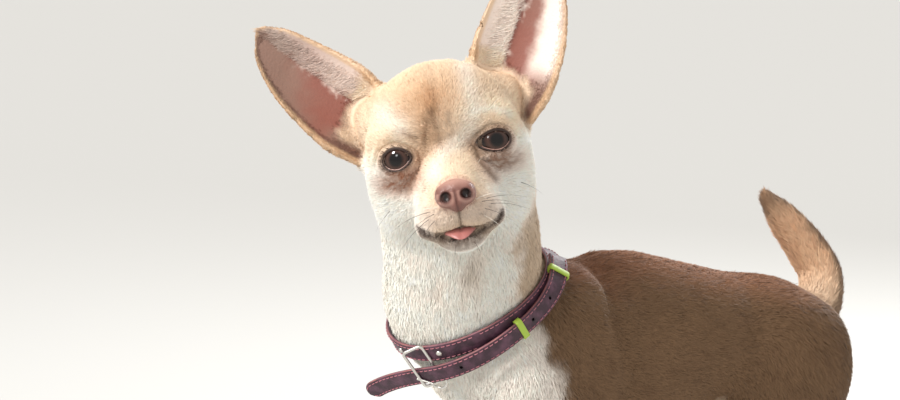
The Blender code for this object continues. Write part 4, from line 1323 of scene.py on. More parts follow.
def tuft_object(name, verts, colours, maps):
    """A piece of coat from its tufts' vertices, five to each, with their colours and their UV map."""
    count = len(verts) // 5
    loops = (np.arange(count)[:, None] * 5 + TUFT_TRIANGLES).ravel()
    mesh = bpy.data.meshes.new(name)
    mesh.vertices.add(len(verts))
    mesh.loops.add(len(loops))
    mesh.polygons.add(count * 3)
    mesh.vertices.foreach_set("co", ((verts + SHIFT) * MM).astype(np.float32).ravel())
    mesh.loops.foreach_set("vertex_index", loops.astype(np.int32))
    mesh.polygons.foreach_set("loop_start", np.arange(0, len(loops), 3, dtype=np.int32))
    mesh.update(calc_edges=True)
    mark(mesh, colours)
    baked = mesh.uv_layers.new(name="OFBake")
    baked.data.foreach_set("uv", maps.astype(np.float32).ravel())
    mesh.shade_smooth()
    mesh.materials.append(COAT_LOOK)
    made = bpy.data.objects.new(name, mesh)
    bpy.context.scene.collection.objects.link(made)
    wear(made, "coat")


def coat_paint():
    """Soft hair in the colours of its own vertices."""
    paint = Paint("coat")
    return paint.finish(
        Base_Color=paint.attribute("Marking"), Roughness=0.62, Specular_IOR_Level=0.25,
        Sheen_Weight=0.12, Sheen_Roughness=0.4,
    )


def round_line(line):
    """An unwrap of what surrounds a line: its bearing round the line, and how far along it."""
    line = np.array(line, float)
    ways = unit(np.gradient(line, axis=0))

    def unwrap(points):
        near = np.linalg.norm(points[:, None] - line[None], axis=2).argmin(axis=1)
        offset = points - line[near]
        way = ways[near]
        first = unit(np.cross(way, (0.3, 0.9, 0.2)))
        second = np.cross(way, first)
        turn = np.arctan2((offset * first).sum(axis=1), (offset * second).sum(axis=1)) / (2 * math.pi) + 0.5
        along = (near + np.clip((offset * way).sum(axis=1) / 6, -0.5, 0.5) + 0.5) / len(line)
        return np.stack((turn, along), axis=1) * 0.97 + 0.01

    return unwrap


def skin_paint():
    paint = Paint("skin under the coat")
    grain = paint.noise(900.0)
    marking = paint.attribute("Marking")
    return paint.finish(Base_Color=marking, Roughness=0.6, Normal=paint.bump(grain, 0.0002))


def wear(made, slot, *nodes):
    """Attaches a finished piece to the root body and hides the parts of the model that it replaces."""
    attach(made, "root")
    if nodes:
        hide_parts(*nodes)
    return made


def strands(name, lines, paint, closed=False, sides=3):
    """Round strands along lines of points that each hold x, y, z and a radius, as one mesh."""
    curve = bpy.data.curves.new(name, "CURVE")
    curve.dimensions = "3D"
    curve.bevel_depth = 1.0
    curve.bevel_resolution = sides
    curve.use_fill_caps = not closed
    for line in lines:
        run = curve.splines.new("POLY")
        run.points.add(len(line) - 1)
        for spot, (x, y, z, radius) in zip(run.points, line):
            spot.co = (x, y, z, 1)
            spot.radius = radius
        run.use_cyclic_u = closed
    curve.materials.append(paint)
    made = bpy.data.objects.new(name, curve)
    bpy.context.scene.collection.objects.link(made)
    use(made)
    bpy.ops.object.convert(target="MESH")
    made = bpy.context.object
    made.name = name
    in_place(made.data)
    made.data.shade_smooth()
    return made


def with_radius(points, radius):
    """Points joined with one radius, or with a radius for each."""
    return np.column_stack((points, np.broadcast_to(radius, len(points))))


PUPIL = (0.004, 0.003, 0.003)
IRIS_STOPS = (
    (0.0, PUPIL), (0.26, PUPIL), (0.32, linear(34, 22, 18)), (0.44, linear(72, 48, 40)),
    (0.54, linear(56, 36, 29)), (0.63, linear(16, 10, 8)), (0.72, linear(40, 28, 23)),
    (1.0, linear(100, 76, 68)),
)


def eye_paint(socket, name):
    """A brown iris round a black pupil, by the distance from the line of gaze."""
    paint = Paint(f"wet eye {name}")
    centre = (from_head(socket.centre[None])[0] + SHIFT) * MM
    gaze = HEAD_TURNS @ socket.axes[2]
    offset = paint.node("ShaderNodeVectorMath", {"operation": "SUBTRACT"}, paint.place(), tuple(centre))
    across = paint.node("ShaderNodeVectorMath", {"operation": "CROSS_PRODUCT"}, offset, tuple(gaze))
    away = paint.node("ShaderNodeVectorMath", {"operation": "LENGTH"}, across, output="Value")
    mottle = paint.noise(900.0)
    share = away * (1 / (EYE_RADIUS * MM)) + (mottle - 0.5) * 0.05
    colour = paint.node("ShaderNodeValToRGB", {"stops": IRIS_STOPS}, share)
    return paint.finish(Base_Color=colour, Roughness=0.04, Specular_IOR_Level=0.4)


def make_eyes():
    """The eyeballs, the dark rims of the lids and the line of tears along each lower lid."""
    rim = Paint("lid rim").finish(Base_Color=linear(56, 38, 31), Roughness=0.6)
    tears = Paint("tear line").finish(Base_Color=linear(186, 146, 134), Roughness=0.2)
    for socket, name in zip(SOCKETS, ("left", "right")):
        deselect()
        bpy.ops.mesh.primitive_uv_sphere_add(segments=64, ring_count=40, radius=EYE_RADIUS)
        eye = bpy.context.object
        eye.name = f"eyeball_{name}"
        points = vertex_array(eye.data)
        set_vertices(eye.data, from_head(points @ socket.axes + socket.centre))
        in_place(eye.data)
        eye.data.shade_smooth()
        eye.data.materials.append(eye_paint(socket, name))
        wear(eye, "eye", f"eye_{name}")
        angles = np.linspace(0, 2 * math.pi, 56, endpoint=False)
        thick = 0.5 + 0.2 * ridge(angles, math.pi, 0.45) + 0.3 * np.maximum(0, np.sin(angles))
        line = with_radius(from_head(socket.margin(angles, 0.3, 0.35)), thick)
        wear(strands(f"lid_rim_{name}", [line], rim, closed=True), "coat")
        low = np.linspace(math.pi * 1.12, math.pi * 1.88, 24)
        fade = np.sin(np.linspace(0.1, math.pi - 0.1, 24)) ** 0.5
        line = with_radius(from_head(socket.margin(low, -0.35, 0.15)), 0.2 * fade)
        wear(strands(f"tear_line_{name}", [line], tears), "eye")


NOSE_BALLS = nose_masses()


def nose_distance(points):
    """The nose's pad with its two nostrils, their side slits and the groove between them."""
    found = flesh_distance(points, NOSE_BALLS)
    x, y, z = (in_head(points) - NOSE).T
    x = np.abs(x)
    hole = np.linalg.norm(np.stack((x - 4.4, y + 6.3, z + 0.8)) / np.array((2.3, 3.8, 2.3))[:, None], axis=0)
    found = smooth_max(found, (1 - hole) * 2.2, 0.8)
    start, end = np.array((5.0, -5.8, -1.4)), np.array((9.0, -3.0, -2.8))
    along = end - start
    offset = np.stack((x, y, z), axis=1) - start
    share = np.clip(offset @ along / (along @ along), 0, 1)
    slit = 0.8 - np.linalg.norm(offset - share[:, None] * along, axis=1)
    found = smooth_max(found, slit, 0.6)
    return found + 0.55 * ridge(x, 0, 0.6) * step(-z, -2.5, 0)


def make_nose():
    """The nose, paler on top, with painted shade in and round its nostrils and along its groove, a painted
    highlight on the nostrils' lower rims, and finely pebbled.
    """
    nose = rough_object("nose_pad", NOSE_BALLS)
    apply_modifier(nose, "REMESH", mode="VOXEL", voxel_size=0.36)
    points = settled(vertex_array(nose.data), nose_distance, 0, 6)
    set_vertices(nose.data, points)
    x, y, z = (in_head(points) - NOSE).T
    colours = plain(linear(126, 84, 74), points)
    colours = over(colours, linear(180, 137, 123), step(z + 0.6 * noise(points, 3, 50), 1.5, 6))
    hole = np.linalg.norm(np.stack((np.abs(x) - 4.7, (y + 6) * 0.4, z + 0.9)), axis=0)
    # Painted highlight: a lighter ring on the lower rims of the nostrils, as wet skin catching the light
    colours = over(colours, linear(196, 152, 138), 0.5 * ridge(hole, 3.7, 0.9) * (z < 1))
    # Painted shade in and round the nostrils' hollows
    colours = over(colours, linear(84, 48, 42), 0.8 * (1 - step(hole, 2.0, 3.4)))
    colours = over(colours, linear(16, 8, 6), 0.97 * (1 - step(hole, 1.9, 2.7)))
    # Painted shade along the groove down the lower middle of the nose
    colours = over(colours, linear(96, 56, 48), 0.8 * ridge(x, 0, 0.8) * step(-z, -3, 1))
    mark(nose.data, colours)
    in_place(nose.data)
    nose.data.shade_smooth()
    paint = Paint("moist nose")
    pebbles = paint.node("ShaderNodeTexVoronoi", None, Vector=paint.place(), Scale=1150.0)
    nose.data.materials.append(paint.finish(
        Base_Color=paint.attribute("Marking"), Roughness=0.38, Normal=paint.bump(pebbles, 0.0002, 0.7)))
    wear(nose, "nose", "nose")


def mark(mesh, colours):
    """Puts colours on a mesh's vertices."""
    filled = np.ones((len(colours), 4), np.float32)
    filled[:, :3] = colours
    mesh.color_attributes.new("Marking", "FLOAT_COLOR", "POINT").data.foreach_set("color", filled.ravel())


def make_tongue():
    """The tip of the tongue, which curls over the lower lip."""
    deselect()
    bpy.ops.mesh.primitive_uv_sphere_add(segments=56, ring_count=28, radius=1)
    tongue = bpy.context.object
    tongue.name = "tongue_tip"
    x, y, z = vertex_array(tongue.data).T
    height = mouth_height(0) - 2.4
    front = front_of_head(0, height)
    droop = 0.075 * np.maximum(0, -y * 10.5 - 3.5) ** 2
    groove = 0.45 * ridge(x, 0, 0.14) * (z > 0)
    local = np.stack((-1 + x * 7.5, front + 5.9 + y * 10.5, height + 0.2 + z * 2.1 - droop - groove), axis=1)
    set_vertices(tongue.data, from_head(local))
    in_place(tongue.data)
    tongue.data.shade_smooth()
    paint = Paint("wet tongue")
    grain = paint.noise(1500.0)
    tongue.data.materials.append(paint.finish(
        Base_Color=linear(174, 110, 104), Roughness=0.3, Normal=paint.bump(grain, 0.0002, 0.6)))
    wear(tongue, "tongue", "tongue")


# Whiskers: the side and height of the root in the head's frame, the way it grows, and its length
WHISKERS = (
    (-10, -37.5, (-0.95, -0.4, -0.2), 17), (-12, -36.5, (-1, -0.3, 0), 21),
    (-11, -40.5, (-0.9, -0.4, -0.6), 14), (-13.5, -39.5, (-1, -0.1, -0.45), 19),
    (10, -36.5, (0.95, -0.4, 0.05), 18), (12.5, -35.5, (1, -0.25, 0.1), 21),
    (11, -39.5, (0.9, -0.4, -0.35), 15), (14, -38, (1, -0.1, -0.1), 20),
    (-4, -53, (-0.4, -0.7, -0.9), 7), (4, -53, (0.4, -0.7, -0.9), 7),
    (-30, -32, (-1, 0, -0.6), 11), (30, -31, (1, 0, -0.5), 11),
)
PALE_WHISKERS = (
    (20, 3, (0.3, -0.8, 0.9), 15), (23, 3.5, (0.6, -0.7, 0.8), 13), (17.5, 3, (0.05, -0.8, 0.9), 12),
    (-20, 3, (-0.3, -0.8, 0.9), 14), (-23, 3.5, (-0.6, -0.7, 0.8), 12),
    (11, -17, (-0.3, -0.8, 0.6), 8), (13, -19, (0.3, -0.9, 0.5), 8),
    (8, -35, (1, -0.5, 0.3), 19), (-8, -35.5, (-1, -0.5, 0.2), 19), (10, -42, (0.8, -0.5, -0.6), 16),
)
WHISKER_RADIUS = 0.12


def make_whiskers():
    """Tapered hairs that bend back and down, rooted just inside the skin."""
    for name, roots, colour in (
        ("whiskers_dark", WHISKERS, linear(66, 50, 42)),
        ("whiskers_pale", PALE_WHISKERS, linear(240, 232, 220)),
    ):
        lines = []
        for x, z, way, length in roots:
            root = np.array((x, front_of_head(x, z) + 1.2, z))
            share = np.linspace(0, 1, 12)[:, None]
            bend = np.array((0, 0.25, -0.28)) * length * share**2.2
            points = root + unit(np.array(way)) * length * share + bend
            lines.append(with_radius(from_head(points), WHISKER_RADIUS * (1.06 - share[:, 0])))
        look = Paint(name).finish(Base_Color=colour, Roughness=0.4)
        wear(strands(name, lines, look, sides=2), "whisker")


def make_claws():
    """A curved claw on each toe."""
    lines = []
    for paw in (FORE_PAW, HIND_PAW):
        for side in (1, -1):
            for across, ahead in TOES:
                toe = np.array((paw.x * side + across, paw.y + ahead, 0, 0))
                lines.append(spline([toe + (0, y, z, radius) for y, z, radius in CLAW_LINE], 4))
    look = Paint("claw").finish(Base_Color=linear(70, 54, 46), Roughness=0.35)
    wear(strands("claws", lines, look), "claw")


def collar_line():
    """Points round the neck's root just outside the body, with the outward and downward ways at each."""
    toward = Vector((0.866, -0.5, 0))
    toward = (toward - COLLAR_NORMAL * toward.dot(COLLAR_NORMAL)).normalized()
    right = np.array(COLLAR_NORMAL.cross(toward))
    angles = np.arange(COLLAR_POINTS) * 2 * math.pi / COLLAR_POINTS
    ways = np.cos(angles)[:, None] * np.array(toward) + np.sin(angles)[:, None] * right
    low, high = np.full(COLLAR_POINTS, 15.0), np.full(COLLAR_POINTS, 75.0)
    for _ in range(18):
        middle = (low + high) / 2
        inside = flesh_distance(np.array(COLLAR_CENTRE) + ways * middle[:, None]) < 0
        low, high = np.where(inside, middle, low), np.where(inside, high, middle)
    radius = low + COLLAR_GAP + COLLAR_THICKNESS / 2
    for _ in range(6):
        smooth = (np.roll(radius, 1) + radius + np.roll(radius, -1)) / 3
        radius = np.maximum(smooth, radius - 0.3)
    points = np.array(COLLAR_CENTRE) + ways * radius[:, None]
    for _ in range(3):
        here = flesh_distance(points)
        outward = unit(np.stack([flesh_distance(points + 3 * axis) - here for axis in np.eye(3)], axis=1))
        for _ in range(4):
            outward = (np.roll(outward, 1, 0) + outward * 2 + np.roll(outward, -1, 0)) / 4
        along = unit(np.roll(points, -1, 0) - np.roll(points, 1, 0))
        outward = unit(outward - along * (outward * along).sum(axis=1, keepdims=True))
        down = np.cross(along, outward)
        lack = np.zeros(COLLAR_POINTS)
        for edge in (-1, -0.5, 0, 0.5, 1):
            inner = points - outward * COLLAR_THICKNESS / 2 + down * COLLAR_WIDTH / 2 * edge
            lack = np.maximum(lack, 0.5 - flesh_distance(inner))
        points = points + outward * lack[:, None]
    return np.hstack((points, outward, down))


def collar_angle(degrees, line):
    """The collar line's row of nine numbers at an angle from the turned head's side."""
    at = degrees / 360 * COLLAR_POINTS
    low = math.floor(at)
    share = at - low
    row = line[low % COLLAR_POINTS] * (1 - share) + line[(low + 1) % COLLAR_POINTS] * share
    return np.concatenate((row[:3], unit(row[3:6]), unit(row[6:])))


def strap_course(line):
    """Rows along the outer strap, from under the far keeper, through the buckle to its free tip."""
    course = []
    for share in np.arange(STRAP_STEPS + 1) / STRAP_STEPS:
        row = collar_angle(STRAP_START + (BUCKLE_ANGLE - STRAP_START) * share, line)
        row[:3] += row[3:6] * (STRAP_LIFT + 0.9 * share**3) + row[6:] * STRAP_DROP * share
        course.append(row)
    along = unit(course[-1][:3] - course[-2][:3])
    last = course[-1].copy()
    for share in np.linspace(0.1, 1, 10):
        row = last.copy()
        row[:3] += (along * STRAP_TAIL + row[6:] * STRAP_DROOP * share) * (1 - (1 - share) ** STRAP_CURL)
        course.append(row)
    course = np.array(course)
    along = unit(np.gradient(course[:, :3], axis=0))
    for part in (slice(3, 6), slice(6, 9)):
        way = course[:, part]
        course[:, part] = unit(way - along * (way * along).sum(axis=1, keepdims=True))
    return course


def strap_row(degrees, course):
    """The strap's row at an angle round the collar."""
    at = STRAP_STEPS * (degrees - STRAP_START) / (BUCKLE_ANGLE - STRAP_START)
    low = min(int(at), len(course) - 2)
    return course[low] + (course[low + 1] - course[low]) * (at - low)


def leather_strip(name, rows, widths, closed):
    """A strap along rows of place, outward and downward ways: crowned, with worn rounded edges."""
    angles = np.linspace(0, 2 * math.pi, STRIP_SIDES, endpoint=False)
    across = np.sign(np.cos(angles)) * np.abs(np.cos(angles)) ** 0.4 / 2
    rise = np.sign(np.sin(angles)) * np.abs(np.sin(angles)) ** 0.55 * COLLAR_THICKNESS / 2
    bm = bmesh.new()
    rings = []
    for row, width in zip(rows, widths):
        places = row[:3] + across[:, None] * width * row[6:] + rise[:, None] * row[3:6]
        rings.append([bm.verts.new(place) for place in places])
    for ring, after in zip(rings, rings[1:] + rings[:1] if closed else rings[1:]):
        for k in range(STRIP_SIDES):
            bm.faces.new((ring[k], ring[k - 1], after[k - 1], after[k]))
    if not closed:
        bm.faces.new(rings[0][::-1])
        bm.faces.new(rings[-1])
    bmesh.ops.recalc_face_normals(bm, faces=bm.faces)
    made = new_object(name, bm)
    edge = np.tile(step(np.abs(across) * 2, 0.9, 1.0) * step(rise, -0.6, 0.4), len(rings))
    points = vertex_array(made.data)
    worn = np.clip(edge * (0.75 + 0.35 * noise(points, 2.5, 60)), 0, 1)
    mark(made.data, over(plain(LEATHER, points), LEATHER_EDGE, worn))
    return made


def leather_paint():
    paint = Paint("worn leather")
    grain = paint.noise(700.0, 6.0)
    wear_share = paint.node("ShaderNodeMapRange", None, paint.noise(190.0, 9.0), 0.42, 0.72, 0.0, 0.7)
    colour = paint.mix(wear_share, paint.attribute("Marking"), linear(112, 72, 92))
    return paint.finish(Base_Color=colour, Roughness=0.52, Normal=paint.bump(grain, 0.0003, 0.7))


def stitches(rows, widths, edges, spacing):
    """Short threads that dip into the leather, along its edges."""
    lines = []
    length = np.concatenate(((0,), np.cumsum(np.linalg.norm(np.diff(rows[:, :3], axis=0), axis=1))))
    for edge in edges:
        for start in np.arange(2, length[-1] - 3, spacing):
            line = []
            for share, lift in ((0, -0.25), (0.2, 0.12), (0.8, 0.12), (1, -0.25)):
                at = start + share * spacing * 0.66
                row = np.array([np.interp(at, length, rows[:, k]) for k in range(9)])
                half = np.interp(at, length, widths) / 2 - 1.3
                if half < 1.5:
                    break
                place = row[:3] + row[6:] * half * edge + row[3:6] * (COLLAR_THICKNESS / 2 + lift)
                line.append((*place, THREAD_RADIUS))
            if len(line) == 4:
                lines.append(line)
    return lines


def rounded_loop(centre, across, along, half_across, half_along, corner, count=9):
    """Points round a rectangle with rounded corners, in the plane of two directions."""
    found = []
    for quarter, (x, y) in enumerate(((1, 1), (-1, 1), (-1, -1), (1, -1))):
        for angle in (quarter + np.linspace(0, 1, count)) * math.pi / 2:
            a = x * (half_across - corner) + corner * math.cos(angle)
            b = y * (half_along - corner) + corner * math.sin(angle)
            found.append(centre + across * a + along * b)
    return np.array(found)


def keeper(name, degrees, course, look):
    """A narrow loop round the outer strap, with softened edges."""
    row = strap_row(degrees, course)
    point, outward, down = row[:3], row[3:6], row[6:]
    along = np.cross(down, outward)
    half_across = COLLAR_WIDTH / 2 + 0.1
    half_out = COLLAR_THICKNESS / 2 + 0.1
    bm = bmesh.new()
    rings = []
    for grow, ahead in ((0, -1), (KEEPER_THICKNESS, -1), (KEEPER_THICKNESS, 1), (0, 1)):
        middle = point + along * ahead * KEEPER_WIDTH / 2
        loop = rounded_loop(middle, down, outward, half_across + grow, half_out + grow, 0.45 + grow, 6)
        rings.append([bm.verts.new(place) for place in loop])
    for ring, after in zip(rings, rings[1:] + rings[:1]):
        for k in range(len(ring)):
            bm.faces.new((ring[k], ring[k - 1], after[k - 1], after[k]))
    bmesh.ops.recalc_face_normals(bm, faces=bm.faces)
    made = new_object(name, bm)
    apply_modifier(made, "BEVEL", width=0.22, segments=2)
    in_place(made.data)
    made.data.shade_smooth()
    made.data.materials.append(look)
    return made


def metal_paint():
    paint = Paint("worn steel")
    rough = paint.node("ShaderNodeMapRange", None, paint.noise(500.0, 5.0), 0.3, 0.7, 0.2, 0.45)
    return paint.finish(Base_Color=(0.72, 0.7, 0.66), Metallic=1.0, Roughness=rough)


def make_leather(line, course):
    """The inner band, the outer strap and the stitching along the edges of both."""
    wrap = 3
    band = spline(np.vstack((line[-wrap:], line, line[:wrap])), CURVE_STEPS)
    band = band[wrap * CURVE_STEPS:-wrap * CURVE_STEPS]
    rows = spline(course, CURVE_STEPS)
    inset = np.maximum(0, 1 - np.linalg.norm(rows[:, :3] - rows[-1, :3], axis=1) / (COLLAR_WIDTH / 2))
    widths = COLLAR_WIDTH * np.maximum(0.12, np.sqrt(1 - inset**2))
    looped = np.vstack((band, band[:1]))
    even = np.full(len(looped), COLLAR_WIDTH)
    leather = leather_paint()
    for made, node in (
        (leather_strip("band_leather", band, even[1:], True), "collar_band"),
        (leather_strip("strap_leather", rows, widths, False), "collar_strap"),
    ):
        if node == "collar_strap":
            punch(made, course)
        in_place(made.data)
        made.data.shade_smooth()
        made.data.materials.append(leather)
        wear(made, "collar_leather", node)
    thread = Paint("pink thread").finish(Base_Color=linear(186, 118, 128), Roughness=0.7)
    sewn = stitches(rows, widths, (-1, 1), STITCH) + stitches(looped, even, (-1, 1), STITCH)
    wear(strands("stitching", sewn, thread, sides=1), "collar_leather")


def make_buckle(line, course, steel):
    """A wire frame round both pieces of leather, slanted over the strap, with its prong on the strap."""
    row = strap_row(BUCKLE_ANGLE, course)
    strap, outward, down = row[:3], row[3:6], row[6:]
    point = collar_angle(BUCKLE_ANGLE, line)[:3]
    ward = np.cross(down, outward)
    ward *= np.sign(ward @ (course[-1, :3] - strap))
    low = COLLAR_THICKNESS / 2 + WIRE_GAP + WIRE_RADIUS
    drop = (strap - point) @ down
    high = (strap - point) @ outward + low
    slant = ward * BUCKLE_LENGTH / 2 + outward * (high - low) / 2
    reach = np.linalg.norm(slant)
    middle = point + down * drop / 2 + outward * (low + high) / 2
    loop = rounded_loop(middle, down, slant / reach, drop / 2 + COLLAR_WIDTH / 2 + 1.2, reach, 1.8)
    start = strap + ward * BUCKLE_LENGTH / 2 + outward * low
    end = strap - ward * 2.5 + down * 4.4 + outward * (low - 0.15)
    prong = with_radius(np.linspace(start, end, 8), np.linspace(*PRONG_RADII, 8))
    buckle = strands("buckle_frame", [with_radius(loop, WIRE_RADIUS)], steel, closed=True)
    tongue = strands("buckle_prong", [prong], steel)
    use(buckle)
    tongue.select_set(True)
    bpy.ops.object.join()
    wear(buckle, "collar_metal", "collar_buckle")


def make_ring(course, steel):
    """The ring that hangs under the buckle."""
    row = strap_row(BUCKLE_ANGLE, course)
    strap, outward, down = row[:3], row[3:6], row[6:]
    side = np.cross(down, outward)
    centre = strap + down * (COLLAR_WIDTH / 2 + 2.6) - outward * (STRAP_LIFT + 0.7)
    turn = np.linspace(0, 2 * math.pi, 48, endpoint=False)[:, None]
    loop = with_radius(centre + (side * np.cos(turn) + down * np.sin(turn)) * RING_RADIUS, RING_WIRE)
    wear(strands("hanging_ring", [loop], steel, closed=True), "collar_metal", "collar_ring")


def make_rivets(line, steel):
    """The domed rivets of the band."""
    for name, degrees in zip(("left", "right"), RIVET_ANGLES):
        row = collar_angle(degrees, line)
        deselect()
        bpy.ops.mesh.primitive_uv_sphere_add(segments=32, ring_count=16, radius=RIVET_RADIUS)
        stud = bpy.context.object
        stud.name = f"rivet_{name}"
        points = vertex_array(stud.data) * (1, 1, 0.6)
        at = row[:3] + row[3:6] * (COLLAR_THICKNESS / 2 + 0.1)
        set_vertices(stud.data, at + points @ row_turns(row))
        in_place(stud.data)
        stud.data.shade_smooth()
        stud.data.materials.append(steel)
        wear(stud, "collar_metal", f"collar_rivet_{name}")


def make_collar():
    """The whole collar, laid from the course of its band and its strap."""
    line = collar_line()
    course = strap_course(line)
    make_leather(line, course)
    green = Paint("green keeper").finish(Base_Color=linear(168, 196, 70), Roughness=0.4)
    for name, degrees in zip(("front", "back"), KEEPER_ANGLES):
        wear(keeper(f"keeper_{name}", degrees, course, green), "keeper", f"collar_keeper_{name}")
    steel = metal_paint()
    make_buckle(line, course, steel)
    make_ring(course, steel)
    make_rivets(line, steel)


def row_turns(row):
    """The ways along, down and outward of a collar's row, for turning a piece onto it."""
    return np.array((np.cross(row[6:], row[3:6]), row[6:], row[3:6]))


def punch(strap, course):
    """Round blind holes in the strap's outer face, painted dark in and round them as shade."""
    rows = [strap_row(degrees, course) for degrees in HOLE_ANGLES]
    for row in rows:
        deselect()
        bpy.ops.mesh.primitive_cylinder_add(vertices=24, radius=HOLE_RADIUS, depth=2.6)
        drill = bpy.context.object
        points = vertex_array(drill.data)
        set_vertices(drill.data, row[:3] + row[3:6] * 0.9 + points @ row_turns(row))
        apply_modifier(strap, "BOOLEAN", object=drill, operation="DIFFERENCE", solver="EXACT")
        bpy.data.objects.remove(drill)
    crease(strap.data, 0.8)
    points = vertex_array(strap.data)
    colours = np.empty(len(points) * 4, np.float32)
    layer = strap.data.color_attributes["Marking"]
    layer.data.foreach_get("color", colours)
    colours = colours.reshape(-1, 4)
    # Painted shade in and round the blind holes
    for row in rows:
        offset = points - row[:3]
        away = np.linalg.norm(offset - (offset @ row[3:6])[:, None] * row[3:6], axis=1)
        colours[away < HOLE_RADIUS + 0.2] = (*(np.array(LEATHER) * 0.25), 1)
    layer.data.foreach_set("color", colours.ravel())


def crease(mesh, angle):
    """Keeps the edges sharper than an angle from being shaded as round."""
    bm = bmesh.new()
    bm.from_mesh(mesh)
    for edge in bm.edges:
        edge.smooth = edge.calc_face_angle(0) < angle
    bm.to_mesh(mesh)
    bm.free()


def dress_skin(skin, hide):
    """Finishes the skin, with the coat's own markings on it."""
    in_place(skin.data)
    skin.data.shade_smooth()
    skin.data.materials.append(skin_paint())
    mark(skin.data, hide.colours)
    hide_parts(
        "head", "ear_left", "ear_right", "neck", "torso", "tail",
        "foreleg_left", "foreleg_right", "hindleg_left", "hindleg_right",
    )
    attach(skin, "root")


def mirrored(line):
    """A limb's line on the other side of the body."""
    return [Vector((-point.x, *point.yz)) for point in line]


def grow_coat(hide):
    """The coat in pieces, each on its own part of the body."""
    corners = hide.triangles
    pull = np.stack([hide.hold[kind][corners].mean(axis=1) for kind in hide.hold], axis=1).argmax(axis=1)
    ear = hide.on_ear[corners].mean(axis=1) > 0.4
    side = hide.points[corners, 0].mean(axis=1)
    ahead = hide.local[corners, 1].mean(axis=1) < -8
    left = hide.local[corners, 0].mean(axis=1) > 0
    skull = from_head(np.array(((0, 44, 0), (0, 20, -2), (0, 0, -6), (0, -25, -12), (0, -60, -30)), float))
    back = np.array(((0, -60, 150), (0, -30, 160), (0, 30, 160), (0, 90, 162), (0, 150, 156)), float)
    on = {kind: pull == number for number, kind in enumerate(hide.hold)}
    fore, hind = (ELBOW, WRIST, FORE_PAW), (STIFLE, HOCK, HIND_PAW)
    for name, chosen, line in (
        ("coat_face", on["head"] & ~ear & ahead, skull),
        ("coat_skull", on["head"] & ~ear & ~ahead, skull),
        ("coat_ear_left", ear & left, EARS[0].grid[:, EAR_COLUMNS // 2]),
        ("coat_ear_right", ear & ~left, EARS[1].grid[:, EAR_COLUMNS // 2]),
        ("coat_neck", on["neck"] & ~ear, NECK_LINE),
        ("coat_torso_left", on["torso"] & ~ear & (side > 0), back),
        ("coat_torso_right", on["torso"] & ~ear & (side <= 0), back),
        ("coat_tail", on["tail"] & ~ear, spline(TAIL_LINE, 3)[:, :3]),
        ("coat_foreleg_left", on["foreleg"] & (side > 0), fore),
        ("coat_foreleg_right", on["foreleg"] & (side <= 0), mirrored(fore)),
        ("coat_hindleg_left", on["hindleg"] & (side > 0), hind),
        ("coat_hindleg_right", on["hindleg"] & (side <= 0), mirrored(hind)),
    ):
        hide.grow(name, chosen, len(name) * 7 + 1, round_line(spline(line, 5)[:, :3]))


# The camera's view of the head, and the picture's width in pixels
CAMERA_TURN = 60
CAMERA_PITCH = 7
CAMERA_DISTANCE = 1500
MM_PER_PIXEL = 0.465
PICTURE_WIDTH = 900
AIM = Vector((36.8, -82.1, 244.4))

# The room, in metres: where the lamps look, each lamp's name, place, power and size, and the sun's way
LAMP_AIM = Vector((0, -0.05, 0.25))
LAMPS = (("rim", (-0.5, 0.9, 0.9), 11, 0.5), ("window", (0.93, -1.53, 1.33), 5, 0.35))
SUN_WAY = Vector((-0.03, 1, -0.95))
SUN_STRENGTH = 3.0
SUN_BLUR = 14
SKY_STRENGTH = 0.72
SKY = (1, 0.98, 0.96, 1)
SUNLIGHT = (1, 0.97, 0.93)
FLOOR_GREY = (0.56, 0.56, 0.545)
FLOOR_SIZE = 40


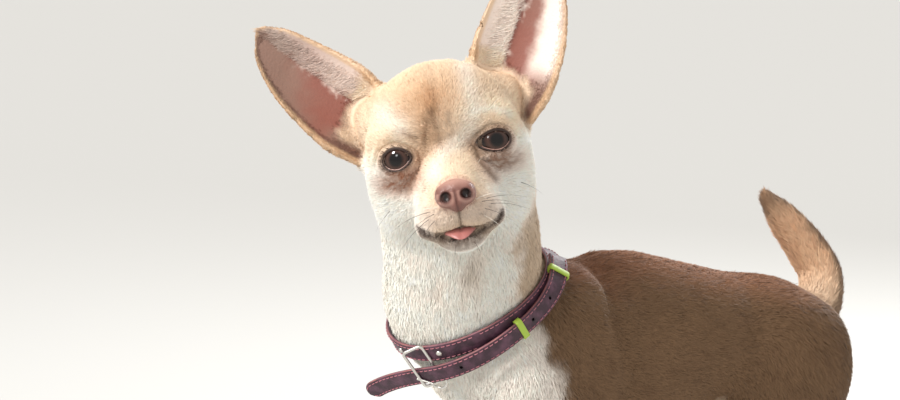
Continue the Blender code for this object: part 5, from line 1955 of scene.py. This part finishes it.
def make_camera():
    turn, pitch = math.radians(CAMERA_TURN), math.radians(CAMERA_PITCH)
    ahead = Vector((-math.sin(turn) * math.cos(pitch), math.cos(turn) * math.cos(pitch), -math.sin(pitch)))
    right = Vector((math.cos(turn), math.sin(turn), 0))
    lens = bpy.data.cameras.new("camera")
    lens.sensor_width = 36
    lens.lens = lens.sensor_width * CAMERA_DISTANCE / (PICTURE_WIDTH * MM_PER_PIXEL)
    lens.clip_start = 0.05
    camera = bpy.data.objects.new("camera", lens)
    bpy.context.scene.collection.objects.link(camera)
    camera.location = (AIM + Vector(SHIFT) - ahead * CAMERA_DISTANCE) * MM
    camera.rotation_euler = Matrix((right, right.cross(ahead), -ahead)).transposed().to_euler()
    bpy.context.scene.camera = camera


def lamp(name, place, power, size):
    """A square lamp that looks at the dog's neck."""
    light = bpy.data.lights.new(name, "AREA")
    light.energy = power
    light.size = size
    made = bpy.data.objects.new(name, light)
    bpy.context.scene.collection.objects.link(made)
    made.location = place
    made.rotation_euler = (LAMP_AIM - made.location).to_track_quat("-Z", "Y").to_euler()


def make_room():
    """A plain pale floor, an even sky, a soft sun and two lamps."""
    deselect()
    bpy.ops.mesh.primitive_plane_add(size=FLOOR_SIZE)
    floor = bpy.context.object
    floor.name = "floor"
    paint = Paint("pale floor")
    floor.data.materials.append(paint.finish(Base_Color=FLOOR_GREY, Roughness=0.9))
    world = bpy.data.worlds.new("room")
    world.use_nodes = True
    back = world.node_tree.nodes["Background"]
    back.inputs["Color"].default_value = SKY
    back.inputs["Strength"].default_value = SKY_STRENGTH
    bpy.context.scene.world = world
    sun = bpy.data.lights.new("key", "SUN")
    sun.energy = SUN_STRENGTH
    sun.color = SUNLIGHT
    sun.angle = math.radians(SUN_BLUR)
    made = bpy.data.objects.new("key", sun)
    bpy.context.scene.collection.objects.link(made)
    made.rotation_euler = SUN_WAY.to_track_quat("-Z", "Y").to_euler()
    for name, place, power, size in LAMPS:
        lamp(name, place, power, size)
    bpy.context.scene.view_settings.view_transform = "Standard"


COAT_LOOK = coat_paint()
skin = make_skin()
hide = Hide(skin)
make_eyes()
make_nose()
make_tongue()
make_whiskers()
make_claws()
make_collar()
grow_coat(hide)
dress_skin(skin, hide)
make_camera()
make_room()
